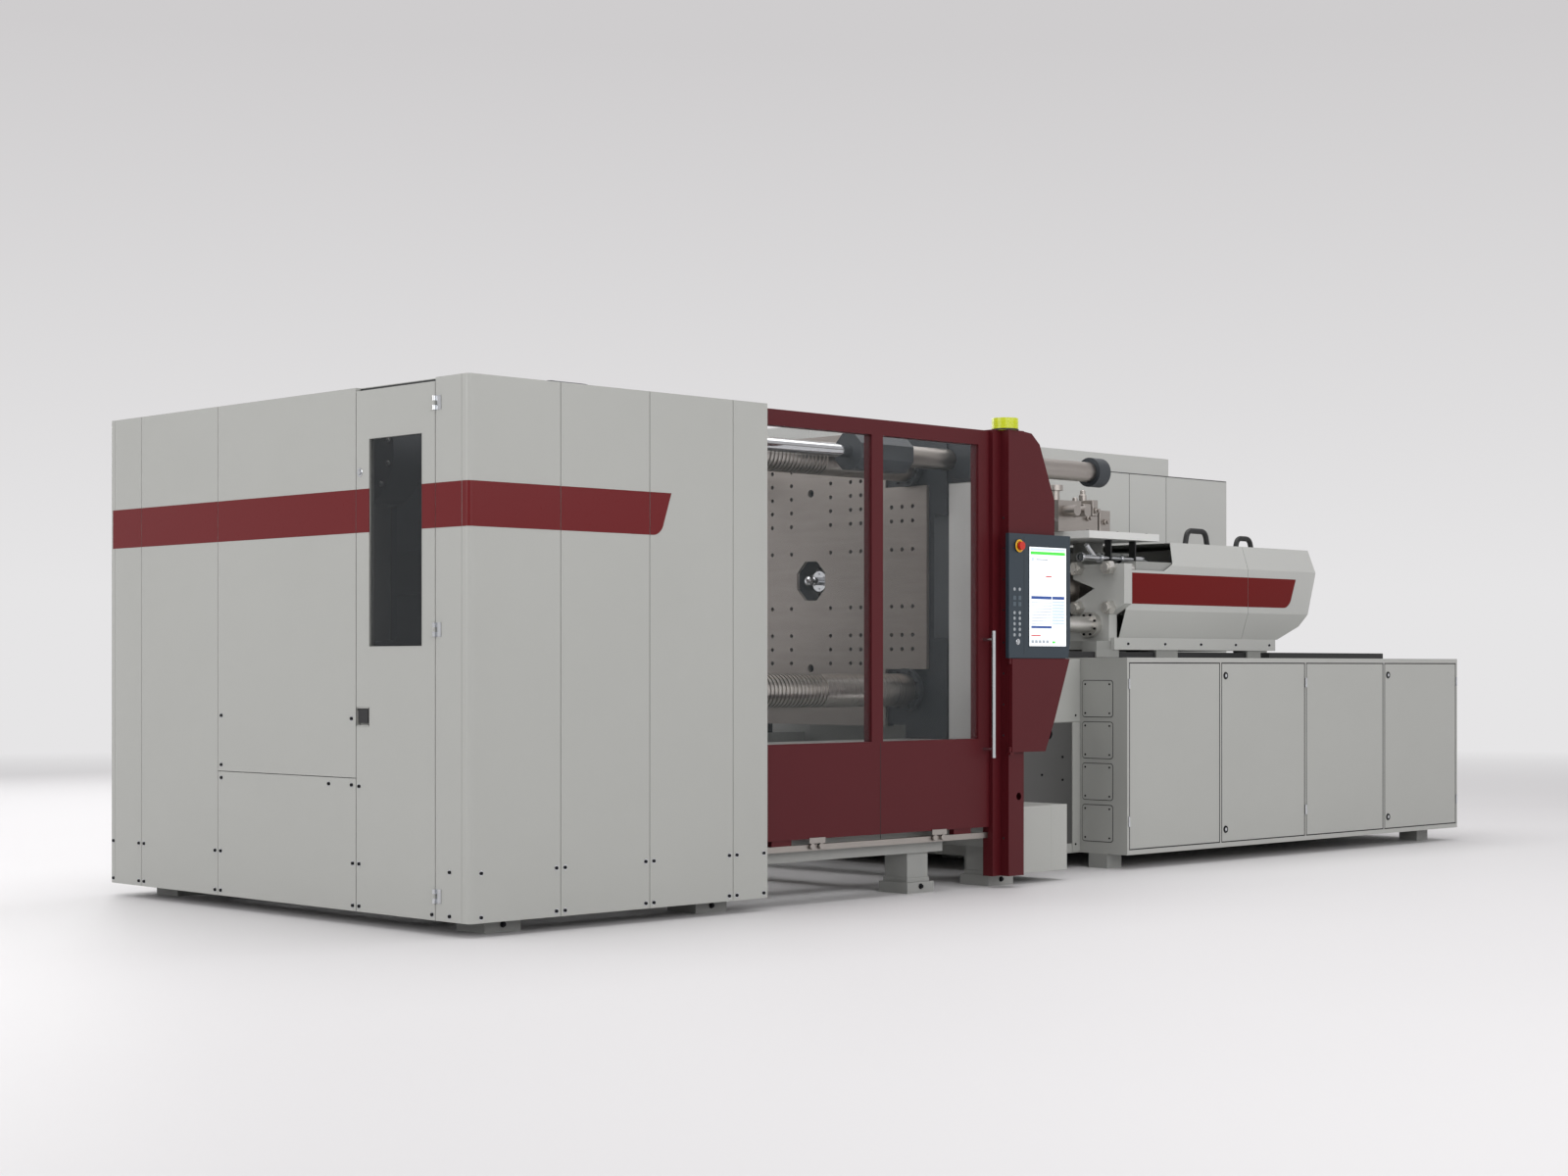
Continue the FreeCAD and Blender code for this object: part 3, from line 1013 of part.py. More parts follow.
saddle_y = ("centre_y - saddle_half", "centre_y + saddle_half")
parts = [block("saddle_plate", ("saddle_start", "saddle_end"), saddle_y, ("saddle_low", "saddle_high"))]
for n, start in enumerate(("block_1", "block_2", "block_3")):
    for m, low in enumerate(RAILS):
        tag = "rail_block_%d_%d" % (n, m)
        body = block(tag + "_body", (start, start + " + block_length"),
                     (low + " - block_side", low + " + rail_width + block_side"),
                     ("saddle_low - block_drop - 14", "saddle_low"))
        slot = block(tag + "_slot", (start + " - 5", start + " + block_length + 5"),
                     (low + " - slack", low + " + rail_width + slack"),
                     ("base_top", "base_top + rail_rise + slack"))
        parts.append(cut(tag, body, slot))
sub_part(join("saddle_solid", *parts), "injection_saddle")


def across(offset):
    return ["centre_y - (%s)" % offset, "centre_y + (%s)" % offset]


half = [("front_leg", "saddle_high"), ("front_leg", "leg_top"), ("front_half", "leg_top + 60"),
        ("front_half", "front_top"), ("notch_half", "front_top"), ("notch_half", "notch_upper"),
        ("notch_tip", "(notch_upper + notch_lower) / 2 + 12"), ("notch_half", "notch_lower"),
        ("notch_half", "front_web")]
outline = [("centre_y - " + y, z) for y, z in half] + [("centre_y + " + y, z) for y, z in half[::-1]]
front_x = ("front_face", "front_face + front_depth")
solid = plate("front_plate_solid", "yz", outline, front_x[0], front_x[1])
TRAVERSE = [(y, "traverse_z") for y in across("traverse_y")]
TIES = [(y + sign + " tie_half / 2", "centre_height %s tie_half / 2" % b)
        for y in across("tie_offset") for sign in (" -", " +") for b in "+-"]
through = ("front_face - 5", "front_face + front_depth + 5")
tools = [bar("front_traverse_%d" % n, "x", through, centre, "traverse_radius") for n,
         centre in enumerate(TRAVERSE)]
tools += [bar("front_tie_%d" % n, "x", through, centre, "tie_radius") for n, centre in enumerate(TIES)]
sub_part(cut("front_plate", solid, *tools), "injection_front_plate")

ties = []
for n, centre in enumerate(TIES):
    rod = bar("unit_tie_%d" % n, "x", ("front_face - 60", "feed_end"), centre, "tie_radius")
    nut = hexagon_bar("unit_nut_%d" % n, "x", ("front_face - 40", "front_face"), centre, "nut_flat")
    ties.append(join("unit_tie_rod_%d" % n, rod, nut))
for n, centre in enumerate(TRAVERSE):
    barrel = bar("traverse_body_%d" % n, "x", ("traverse_start", "front_face + front_depth"), centre,
                 "traverse_radius")
    flange = bar("traverse_flange_%d" % n, "x", ("front_face - cylinder_flange", "front_face"), centre,
                 "flange_radius")
    bore = bar("traverse_bore_%d" % n, "x", ("traverse_start - 5", "front_face + front_depth - 20"),
               centre,
               "traverse_bore")
    ties.append(cut("traverse_cylinder_%d" % n, join("traverse_join_%d" % n, barrel, flange), bore))
rods = []
for n, centre in enumerate(TRAVERSE):
    rod = bar("traverse_rod_%d" % n, "x", ("mould_face + platen_thickness", "traverse_end"), centre,
              "traverse_rod")
    piston = bar("traverse_piston_%d" % n, "x", ("traverse_end - 40", "traverse_end"), centre,
                 "traverse_bore - piston_clear")
    rods.append(join("traverse_ram_%d" % n, rod, piston))
sub_part(group("cylinder_set", *(travel + rods)), "fixed_cylinders")

axis = ("centre_y", "centre_height")
barrel_hole = bar("barrel_hole", "x", ("barrel_start + flange_depth", "feed_end + 5"), axis,
                  "barrel_inner")
tube_body = bar("barrel_tube", "x", ("barrel_start", "feed_start"), axis, "barrel_outer")
neck = doc.addObject("Part::Cone", "nozzle_cone")
neck.Placement = FreeCAD.Placement(FreeCAD.Vector(), TURNS["x"])
bind(neck, "Radius1", "nozzle_small")
bind(neck, "Radius2", "nozzle_flange")
bind(neck, "Height", "nozzle_neck - nozzle_tip")
bind(neck, "Placement.Base.x", "nozzle_tip")
bind(neck, "Placement.Base.y", "centre_y")
bind(neck, "Placement.Base.z", "centre_height")
adapter = bar("nozzle_adapter", "x", ("nozzle_neck", "barrel_start"), axis, "nozzle_flange")
bore = bar("nozzle_hole", "x", ("nozzle_tip - 5", "barrel_start + 5"), axis, "nozzle_small / 4")
nozzle = cut("nozzle_solid", join("nozzle_join", neck, adapter), bore)
shroud = bar("cover_outer", "x", ("barrel_start + 2 * flange_depth", "cover_end"), axis, "cover_radius")
shroud_hole = bar("cover_inner", "x", ("barrel_start", "cover_end + 5"), axis, "cover_radius - wall")
ring = bar("cover_ring", "x", ("barrel_start + 2 * flange_depth", "barrel_start + 3 * flange_depth"),
           axis,
           "cover_radius")
ring_hole = bar("cover_ring_hole", "x", ("barrel_start", "cover_end"), axis, "barrel_outer")
nose_hole = bar("barrel_nose_hole", "x", ("barrel_start - 5", "barrel_start + flange_depth + 5"), axis,
                "nozzle_small / 4")
sub_part(group("barrel_set", cut("barrel_solid", tube_body, barrel_hole, nose_hole), nozzle), "barrel")
sub_part(join("barrel_cover_solid", cut("cover_tube", shroud, shroud_hole),
              cut("cover_disc", ring, ring_hole)),
         "barrel_cover")

feed = block("feed_body", ("feed_start", "feed_end"), across("feed_half"), ("feed_low", "feed_top - 60"))
neck = bar("feed_neck", "z", ("feed_top - 70", "feed_top"), ("(feed_start + feed_end) / 2", "centre_y"),
           "throat + 40")
wing_half = "tie_offset + tie_half / 2 + tie_radius + tie_wall"
wing = block("feed_wings", ("feed_start", "feed_end"), across(wing_half),
             ("centre_height - tie_half / 2 - nut_flat", "centre_height + tie_half / 2 + nut_flat"))
hood_bracket = block("hood_bracket", ("(feed_start + feed_end - 100) / 2",
                                      "(feed_start + feed_end + 100) / 2"),
                     ("centre_y + " + wing_half, "centre_y + hood_side - gauge"),
                     ("centre_height - tie_radius", "centre_height + tie_radius"))
tools = [bar("feed_bore", "x", ("feed_start - 5", "feed_end + 5"), axis, "barrel_inner"),
         bar("feed_throat", "z", ("centre_height", "feed_top + 5"),
             ("(feed_start + feed_end) / 2", "centre_y"),
             "throat")]
tools += [bar("feed_tie_%d" % n, "x", ("feed_start - 5", "feed_end + 5"), centre, "tie_radius")
          for n, centre in enumerate(TIES)]
sub_part(cut("feed_solid", join("feed_join", feed, neck, wing, hood_bracket), *tools), "feed_block")

def flight_outline():
    """Half the section of the screw: a thread drawn as even lands, as deep as the channel."""
    land, channel = SIZES["screw_radius"] / 3, SIZES["screw_radius"] * 2
    root, start, end = SIZES["screw_radius"] * 0.7, SIZES["screw_tip"], SIZES["feed_end"]
    points = [(start - 20, 0), (start, root)]
    place = start + channel / 2
    while place + channel < end:
        points += [(place, root), (place, SIZES["screw_radius"])]
        points += [(place + land, SIZES["screw_radius"]), (place + land, root)]
        place += channel
    points += [(SIZES["drive_start"] + SIZES["drive_depth"] / 2, root)]
    points += [(SIZES["drive_start"] + SIZES["drive_depth"] / 2, 0)]
    return [FreeCAD.Vector(x, 0, z) for x, z in points]


screw = doc.addObject("Part::Feature", "screw_solid")
section = Part.Face(Part.makePolygon(flight_outline() + flight_outline()[:1]))
screw.Shape = section.revolve(FreeCAD.Vector(), FreeCAD.Vector(1, 0, 0), 360)
bind(screw, "Placement.Base.y", "centre_y")
bind(screw, "Placement.Base.z", "centre_height")
sub_part(screw, "screw")

enter(drive_low=1200, drive_high=1720, guide_offset=300, guide_radius=30, guide_end=6640, stay_depth=40)
guides = [bar("unit_guide_%d" % n, "x", ("feed_end", "guide_end"), (y, "centre_height"), "guide_radius")
          for n, y in enumerate(across("guide_offset"))]
stay = cut("stay", block("stay_body", ("guide_end - stay_depth", "guide_end"), across("drive_half"),
                         ("saddle_high", "drive_high")),
           bar("stay_hole", "x", ("guide_end - stay_depth - 5", "guide_end + 5"), axis,
               "motor_radius + 10"))
sub_part(group("unit_rod_set", *(ties + [join("guide_frame_solid", stay, *guides)])), "unit_rods")
drive_x = ("drive_start", "drive_start + drive_depth")
drive_body = block("drive_body", drive_x, across("drive_half"), ("drive_low", "drive_high"))
motor = bar("motor_body", "x", (drive_x[1], "motor_end"), axis, "motor_radius")
through = ("drive_start - 5", "drive_start + drive_depth + 5")
tools = [bar("drive_guide_%d" % n, "x", through, (y, "centre_height"), "guide_radius + 0.05")
         for n, y in enumerate(across("guide_offset"))]
tools.append(bar("drive_socket", "x", ("drive_start - 5", "drive_start + drive_depth / 2 + slack"), axis,
                 "screw_radius * 0.7 + 0.05"))
sub_part(cut("drive_solid", join("drive_join", drive_body, motor), *tools), "injection_drive")

enter(
    hood_start=5190, hood_seam=6350, hood_top_half=442, hood_foot_half=437,
    hood_low=1204, hood_bulge_low=1356, hood_bulge_high=1611, hood_top=1745, hood_mouth=5655,
    mouth_low=1579, mouth_knee_x=5540, mouth_bend_x=5624, mouth_bend_z=1622,
    tail_start=6716, tail_bend_x=6905, tail_bend_z=1285, tail_knee_x=6967, tail_end=7051,
    tail_bulge_z=1604, tail_top=7032, strip_low=1137, strip_high=1203.7, strip_x=5126,
    strip_far=6672, strip_half=455, hood_hinge=5, hood_hinge_pin=3, hood_hinge_length=40,
    hood_hinge_rise=5.2, hood_hinge_inset=200, tail_foot_rise=30,
)
near = [("centre_y - hood_foot_half", "hood_low"), ("centre_y - hood_side", "hood_bulge_low"),
        ("centre_y - hood_side", "hood_bulge_high"), ("centre_y - hood_top_half", "hood_top"),
        ("centre_y + hood_top_half - seam", "hood_top"), ("centre_y + hood_top_half - seam", "hood_low")]
near_inner = [("centre_y - hood_foot_half + gauge", "hood_low - 5"),
              ("centre_y - hood_side + gauge", "hood_bulge_low"),
              ("centre_y - hood_side + gauge", "hood_bulge_high"),
              ("centre_y - hood_top_half + gauge", "hood_top - gauge"),
              ("centre_y + hood_top_half + 5", "hood_top - gauge"), ("centre_y + hood_top_half + 5",
                                                                     "hood_low - 5")]
far = [("centre_y + hood_top_half", "hood_top"), ("centre_y + hood_side", "hood_bulge_high"),
       ("centre_y + hood_side", "hood_bulge_low"), ("centre_y + hood_foot_half", "hood_low"),
       ("centre_y + hood_foot_half - gauge", "hood_low"), ("centre_y + hood_side - gauge",
                                                           "hood_bulge_low"),
       ("centre_y + hood_side - gauge", "hood_bulge_high"), ("centre_y + hood_top_half - gauge",
                                                             "hood_top")]


def tail_outline(start, inset):
    """The hood's side view from a start to its chamfered tail, drawn in by an inset."""
    return [(start, "hood_low - 5"), ("tail_start - %s" % inset, "hood_low - 5"),
            ("tail_start - %s" % inset, "hood_low"),
            ("tail_bend_x - %s" % inset, "tail_bend_z"), ("tail_knee_x - %s" % inset, "hood_bulge_low"),
            ("tail_end - %s" % inset, "tail_bulge_z"), ("tail_top - %s" % inset, "hood_top + 5"),
            (start, "hood_top + 5")]


def common(name, first, second):
    item = doc.addObject("Part::MultiCommon", name)
    item.Shapes = [first, second]
    return item


def hinge_spots(start, end):
    return ("%s + hood_hinge_inset" % start, "%s - hood_hinge_inset - hood_hinge_length" % end)


hinge_axis = ("centre_y + hood_top_half - seam / 2", "hood_top + hood_hinge_rise")


def lid_knuckles(tag, spots):
    """The lid's half of each hinge: a knuckle with a leaf that lies on the lid."""
    pieces = []
    for n, spot in enumerate(spots):
        span = (spot, spot + " + hood_hinge_length")
        pieces.append(bar("%s_knuckle_%d" % (tag, n), "x", span, hinge_axis, "hood_hinge"))
        leaf_y = (hinge_axis[0] + " - 20", hinge_axis[0] + " - seam / 2")
        pieces.append(block("%s_hinge_leaf_%d" % (tag, n), span, leaf_y,
                            ("hood_top", "hood_top + gauge")))
    return pieces


def shell_pins(tag, spots):
    """The shell's half of each hinge: the pin, and a post at each end of it."""
    pieces = []
    for n, spot in enumerate(spots):
        pin_span = (spot + " - 20", spot + " + hood_hinge_length + 20")
        pieces.append(bar("%s_pin_%d" % (tag, n), "x", pin_span, hinge_axis, "hood_hinge_pin"))
        for m, span in enumerate(((spot + " - 20", spot + " - slack"),
                                  (spot + " + hood_hinge_length + slack", pin_span[1]))):
            pieces.append(block("%s_post_%d_%d" % (tag, n, m), span,
                                ("centre_y + hood_top_half - gauge", "centre_y + hood_top_half + gauge"),
                                ("hood_top - 12", "hood_top + hood_hinge_rise + 2")))
    return pieces


front_spots = hinge_spots("hood_mouth", "hood_seam")
rear_spots = hinge_spots("hood_seam", "tail_knee_x")
side_y = ("centre_y - hood_side - 5", "centre_y + hood_side + 5")
mouth = plate("hood_mouth_tool", "xz", [("hood_start - 5", "mouth_low"), ("mouth_knee_x", "mouth_low"),
              ("mouth_bend_x", "mouth_bend_z"), ("hood_mouth", "hood_top + 5"), ("hood_start - 5",
                                                                                 "hood_top + 5")],
              side_y[0], side_y[1])
lid = plate("front_lid_solid", "yz", near, "hood_start", "hood_seam - seam / 2")
lid_inner = plate("front_lid_inner", "yz", near_inner, "hood_start - 5", "hood_seam + 5")
lid = join("front_lid_join", cut("front_lid_cut", lid, lid_inner, mouth),
           *lid_knuckles("front", front_spots))
knuckle_bore = bar("front_lid_bore", "x", ("hood_mouth", "hood_seam"), hinge_axis,
                   "hood_hinge_pin + 0.05")
sub_part(cut("front_lid", lid, knuckle_bore), "hood_front_lid")

tail = common("tail_outer", plate("tail_section", "yz", near, "hood_seam + seam / 2", "tail_end + 5"),
              plate("tail_side", "xz", tail_outline("hood_seam", "0"), side_y[0], side_y[1]))
tail_core = common("tail_inner", plate("tail_inner_section", "yz", near_inner, "hood_seam - 5",
                                       "tail_end + 5"),
                   plate("tail_inner_side", "xz", tail_outline("hood_seam - 5", "gauge"), side_y[0],
                         side_y[1]))
tail_foot_gap = block("tail_foot_gap", ("tail_start - 5", "tail_end"),
                      ("centre_y + hood_foot_half - gauge - seam", "centre_y + hood_side"),
                      ("hood_low - 5", "hood_low + tail_foot_rise"))
tail = join("rear_lid_join", cut("tail_cut", tail, tail_core, tail_foot_gap),
            *lid_knuckles("rear", rear_spots))
knuckle_bore = bar("rear_lid_bore", "x", ("hood_seam", "tail_end"), hinge_axis, "hood_hinge_pin + 0.05")
sub_part(cut("rear_lid", tail, knuckle_bore), "hood_rear_lid")

far_wall = common("far_wall", plate("far_section", "yz", far, "hood_start", "tail_end + 5"),
                  plate("far_side", "xz", tail_outline("hood_start - 5", "0"), side_y[0], side_y[1]))
far_wall = cut("far_wall_cut", far_wall, mouth)
far_wall = join("far_wall_join", far_wall, *(shell_pins("front", front_spots) + shell_pins("rear",
                                                                                           rear_spots)))
strips = [block("hood_strip_%d" % n, ("strip_x", "strip_far"), span, ("strip_low", "strip_high"))
          for n, span in enumerate((("centre_y - strip_half", "centre_y - saddle_half"),
                                    ("centre_y + saddle_half", "centre_y + strip_half")))]
sub_part(group("hood_shell_set", far_wall, *strips), "hood_shell")

enter(
    plate_start=4930, plate_end=5560, plate_half=435, plate_gauge=40, valve_start=4880, valve_depth=200,
    valve_half=110, valve_offset=150, valve_top=1960, valve_radius=30, valve_cap=48,
    electric_start=3804, electric_front=1930, electric_back=2560, electric_low=100, electric_top=2250,
    top_box_end=7060, top_box_top=2360, top_box_inset=20, plinth_inset=40, electric_door_start=4100,
    electric_door_width=1100, electric_door_low=160, electric_door_high=2190, door_relief=1.5,
    spigot_step=15,
)
deck = block("hopper_deck_body", ("plate_start", "plate_end"), across("plate_half"),
             ("feed_top", "feed_top + plate_gauge"))
deck_hole = bar("deck_hole", "z", ("feed_top - 5", "feed_top + plate_gauge + 5"),
                ("(feed_start + feed_end) / 2", "centre_y"), "throat + spigot_step")
sub_part(cut("hopper_deck_solid", deck, deck_hole), "hopper_deck")
valve_y = "centre_y - valve_offset"
valve = [block("valve_body", ("valve_start", "valve_start + valve_depth"), (valve_y + " - valve_half",
               valve_y + " + valve_half"), ("feed_top + plate_gauge", "valve_top")),
         bar("valve_stem", "z", ("valve_top", "valve_top + 60"),
             ("valve_start + valve_depth / 2", valve_y),
             "valve_radius"),
         bar("valve_cap", "z", ("valve_top + 60", "valve_top + 90"),
             ("valve_start + valve_depth / 2", valve_y),
             "valve_cap")]
for n, place in enumerate(("valve_start + 55", "valve_start + 145")):
    valve.append(bar("valve_coil_%d" % n, "y", (valve_y + " - valve_half - 90",
                                                valve_y + " - valve_half"),
                     (place, "valve_top - 60"), "valve_radius"))
sub_part(join("valve_solid", *valve), "valve_block")

electric_x = ("electric_start", "machine_length")
electric_y = ("electric_front", "electric_back")
outer = block("electric_outer", electric_x, electric_y, ("electric_low", "electric_top"))
inner = block("electric_inner", ("electric_start + wall", "machine_length - wall"),
              ("electric_front + wall", "electric_back - wall"), ("electric_low + wall",
                                                                  "electric_top - wall"))


def ring(name, length, width, height, wall):
    """An upright box wall, open at its foot and at its head."""
    inner = [("%s + %s" % (span[0], wall), "%s - %s" % (span[1], wall)) for span in (length, width)]
    return cut(name, block(name + "_outer", length, width, height),
               block(name + "_inner", *inner, height))


plinth_wall = "gauge * 2"
plinth = ring("plinth", ("electric_start + plinth_inset", "machine_length - plinth_inset"),
              ("electric_front + plinth_inset", "electric_back - plinth_inset"),
              ("0", "electric_low"), plinth_wall)
top_box_x = ("electric_start + top_box_inset", "top_box_end")
top_box_y = ("electric_front + top_box_inset", "electric_back - top_box_inset")
top_box_wall = ring("top_box_wall", top_box_x, top_box_y, ("electric_top", "top_box_top - gauge"),
                    "gauge")
top_box_lid = block("top_box_lid", top_box_x, top_box_y, ("top_box_top - gauge", "top_box_top"))
top_box = join("top_box", top_box_wall, top_box_lid)
electric_z = ("electric_door_low", "electric_door_high")
electric_doors = []
cabinet_pins = []
holes = []
for n in range(2):
    low_x = "electric_door_start + electric_door_width * %d" % n
    high_x = low_x + " + electric_door_width - seam"
    door, pins = cabinet_door("electric_door_%d" % (n + 1), low_x, high_x,
                              "housing_width - electric_back - door_depth", electric_z, n == 0)
    electric_doors.append(mirrored("electric_door_far_%d" % (n + 1), door))
    cabinet_pins += [mirrored("electric_pin_%d_%d" % (n, m), pin) for m, pin in enumerate(pins)]
    holes.append(block("electric_opening_%d" % n, (low_x + " + 3 * fold", high_x + " - 3 * fold"),
                       ("electric_back - 2 * wall", "electric_back + 5"),
                       ("electric_door_low + 3 * fold", "electric_door_high - 3 * fold")))
    holes.append(block("electric_relief_%d" % n, (low_x, high_x),
                       ("electric_back - door_relief", "electric_back + 5"), electric_z))
ledge_x = ("electric_door_start - fold", "electric_door_start + 2 * electric_door_width + fold")
ledges = [block("electric_ledge_%d" % n, ledge_x,
                ("electric_back", "electric_back + door_depth"), span) for n, span in enumerate((
                    ("electric_door_low - fold", "electric_door_low - seam"),
                    ("electric_door_high + seam", "electric_door_high + fold")))]
holes.append(bar("cylinder_way", "x", ("electric_start - 5", "electric_start + wall + 5"),
                 TRAVEL["lower"],
                 "barrel_radius + 5"))
shell = cut("electric_shell", outer, inner, *holes)
sub_part(join("electric_solid", shell, plinth, top_box, *(ledges + cabinet_pins)), "electrical_cabinet")
for n, door in enumerate(electric_doors):
    sub_part(door, "electrical_door_%d" % (n + 1))

# ---------------------------------------------------------------- check and write

doc.recompute()
for item in doc.Objects:
    if "Invalid" in item.State or "Error" in item.State:
        raise ValueError("%s did not recompute: %s" % (item.Name, item.State))
for item in SUBPARTS:
    if item.Shape.isNull() or not item.Shape.isValid():
        raise ValueError("%s has no valid shape" % item.Label)

os.makedirs("parts", exist_ok=True)
whole = FreeCAD.BoundBox()
for item in SUBPARTS:
    item.Shape.exportStep("parts/%s.step" % item.Label)
    whole.add(item.Shape.BoundBox)
    print("%-24s %3d solids %12.0f mm3" % (item.Label, len(item.Shape.Solids), item.Shape.Volume))
print("%d sub-parts, box %s" % (len(SUBPARTS), whole))
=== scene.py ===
# %% [markdown]
# # An injection moulding machine
#
# The machine melts plastic granules and presses them into a mould. From left to right it has the
# clamp housing, the sliding gates in front of the mould, the control column, and the injection
# unit under its hood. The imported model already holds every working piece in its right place, so
# this lesson adds the finishes and the small pieces that make it look real: coloured bands,
# screws, keys, handles, pipes, seals and hinges.

# %% Load the frame
import math

import bmesh
import bpy
from mathutils import Matrix, Vector


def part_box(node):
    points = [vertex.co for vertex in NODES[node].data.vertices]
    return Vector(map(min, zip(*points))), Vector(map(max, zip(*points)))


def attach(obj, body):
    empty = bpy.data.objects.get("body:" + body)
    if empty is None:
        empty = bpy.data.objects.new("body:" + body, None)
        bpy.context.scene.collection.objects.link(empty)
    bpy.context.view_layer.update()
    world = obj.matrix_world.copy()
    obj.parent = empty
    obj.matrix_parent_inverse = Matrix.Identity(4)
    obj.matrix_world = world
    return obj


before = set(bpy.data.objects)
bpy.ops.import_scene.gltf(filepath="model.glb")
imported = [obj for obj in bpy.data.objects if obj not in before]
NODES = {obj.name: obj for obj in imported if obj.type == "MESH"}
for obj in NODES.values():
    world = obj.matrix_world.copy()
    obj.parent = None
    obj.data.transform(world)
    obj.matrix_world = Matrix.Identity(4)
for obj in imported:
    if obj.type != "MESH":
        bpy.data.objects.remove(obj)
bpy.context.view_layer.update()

# %% [markdown]
# Places on the machine are easiest to give as a fitter would measure them: in metres from the
# clamp end, from the operator's side of the housing, and up from the floor. One function turns
# such a place into the frame's own axes. Its zero is the corner of the clamp housing.

# %% Places
CLAMP_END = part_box("operator_panels")[0].x
OPERATOR_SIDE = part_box("operator_panels")[0].y


def at(x, y, z):
    """A place measured from the clamp end, the operator's side and the floor, in metres."""
    return Vector((CLAMP_END + x, OPERATOR_SIDE + y, z))


MM = 0.001
AXIS_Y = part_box("barrel")[0].y / 2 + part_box("barrel")[1].y / 2 - OPERATOR_SIDE
print("the housing's corner is at", at(0, 0, 0), "and the machine's axis is", round(AXIS_Y, 4), "m in")

# %% [markdown]
# Colours are written as sRGB hex, the way paint charts and colour pickers give them. The shaders
# want linear light, so one function converts them. A second small function adds a shader node:
# an input that is given a socket is linked, and any other input is given a value.

# %% Colours and shader nodes
def linear(code):
    """An sRGB hex colour as linear red, green, blue and alpha."""
    shares = [int(code[n:n + 2], 16) / 255 for n in (1, 3, 5)]
    return [s / 12.92 if s <= 0.04045 else ((s + 0.055) / 1.055) ** 2.4 for s in shares] + [1.0]


def add(tree, kind, inputs, **settings):
    """Adds a node, with its settings, and its inputs by name or number."""
    made = tree.nodes.new(kind)
    for name, value in settings.items():
        setattr(made, name, value)
    for key, value in inputs.items():
        if isinstance(value, bpy.types.NodeSocket):
            tree.links.new(value, made.inputs[key])
        else:
            made.inputs[key].default_value = value
    return made


def start(name):
    """A new material: its node tree, and the object's own coordinates in metres."""
    material = bpy.data.materials.new(name)
    material.use_nodes = True
    material.node_tree.nodes.clear()
    where = add(material.node_tree, "ShaderNodeTexCoord", {}).outputs["Object"]
    return material, material.node_tree, where


def end(tree, shader):
    add(tree, "ShaderNodeOutputMaterial", {"Surface": shader.outputs[0]})


def surface(tree, inputs):
    """The paint, metal or plastic itself, joined to the output."""
    end(tree, add(tree, "ShaderNodeBsdfPrincipled", inputs))


# %% [markdown]
# Nearly every finish below is made of the same four steps, so each step is a short function that
# gives back a socket: a noise, a value spread between two others, a colour between two others,
# and a bump.

# %% Steps of a finish
def noise(tree, where, scale, detail=2.0, roughness=0.5):
    inputs = {"Vector": where, "Scale": scale, "Detail": detail, "Roughness": roughness}
    return add(tree, "ShaderNodeTexNoise", inputs).outputs[0]


def spread(tree, value, low, high):
    """A share from 0 to 1, spread from a low value to a high one."""
    return add(tree, "ShaderNodeMapRange", {"Value": value, "To Min": low, "To Max": high}).outputs[0]


def between(tree, share, first, second):
    """A colour between two; each is a hex code or a socket."""
    ends = [linear(colour) if isinstance(colour, str) else colour for colour in (first, second)]
    return add(tree, "ShaderNodeMix", {0: share, 6: ends[0], 7: ends[1]}, data_type="RGBA").outputs[2]


def bumped(tree, height, depth, strength):
    inputs = {"Height": height, "Distance": depth, "Strength": strength}
    return add(tree, "ShaderNodeBump", inputs).outputs[0]


# %% [markdown]
# ## Powder-coated sheet steel
#
# The panels, doors and hood are folded steel sheet with a fine powder coat. Powder melts into a
# skin with a slight orange peel, a few millimetres from crest to crest, so its gloss is soft and
# broken. A noise of that size gives the bump, and a much larger one shifts the colour by a hair,
# as large panels never look perfectly even. The peel is drawn about three times too coarse, so
# that it still shows on a machine this long.

# %% Powder coat
PEEL = 9 * MM


def powder_coat(name, colour, shade, roughness=0.42, shine=0.5):
    """A powder coat of two close colours that drift into each other, with orange peel."""
    material, tree, where = start(name)
    peel = noise(tree, where, 1 / PEEL)
    surface(tree, {"Base Color": between(tree, noise(tree, where, 1.3, 4.0, 0.6), colour, shade),
                   "Roughness": spread(tree, peel, roughness - 0.05, roughness + 0.07),
                   "Normal": bumped(tree, peel, 0.35 * MM, 0.5), "Specular IOR Level": shine})
    return material


GREY_COAT = powder_coat("powder_coat_stone_grey", "#a3a4a0", "#a9aaa6")
LIGHT_COAT = powder_coat("powder_coat_light_grey", "#b0b1ae", "#b6b7b4")
PEARL_COAT = powder_coat("powder_coat_pearl", "#cfd0ce", "#d5d6d4")
# This dark grey is painted shade. It colours the sheet that stands in for a recess's shade on the base's
# narrow end.
PAINTED_SHADE_COAT = powder_coat("powder_coat_painted_shade_grey", "#484847", "#4e4e4d")
RED_COAT = powder_coat("powder_coat_wine_red", "#4b1117", "#51151b", roughness=0.4, shine=0.2)
BLACK_COAT = powder_coat("powder_coat_black", "#17181a", "#1d1e20", roughness=0.5)
print("powder coats:", GREY_COAT.name, LIGHT_COAT.name, RED_COAT.name, BLACK_COAT.name)

# %% [markdown]
# ## Painted castings
#
# The platens, their nuts and the feet are iron castings, and the sand of the mould leaves a grain
# of one to three millimetres that two coats of machine enamel only soften. Two noises make it: a
# fine one for the grain and a broad one for the low swells. Dirt and thin paint gather as small
# changes of tone, so the colour follows the broad noise.

# %% Cast iron under enamel
GRAIN = 14 * MM


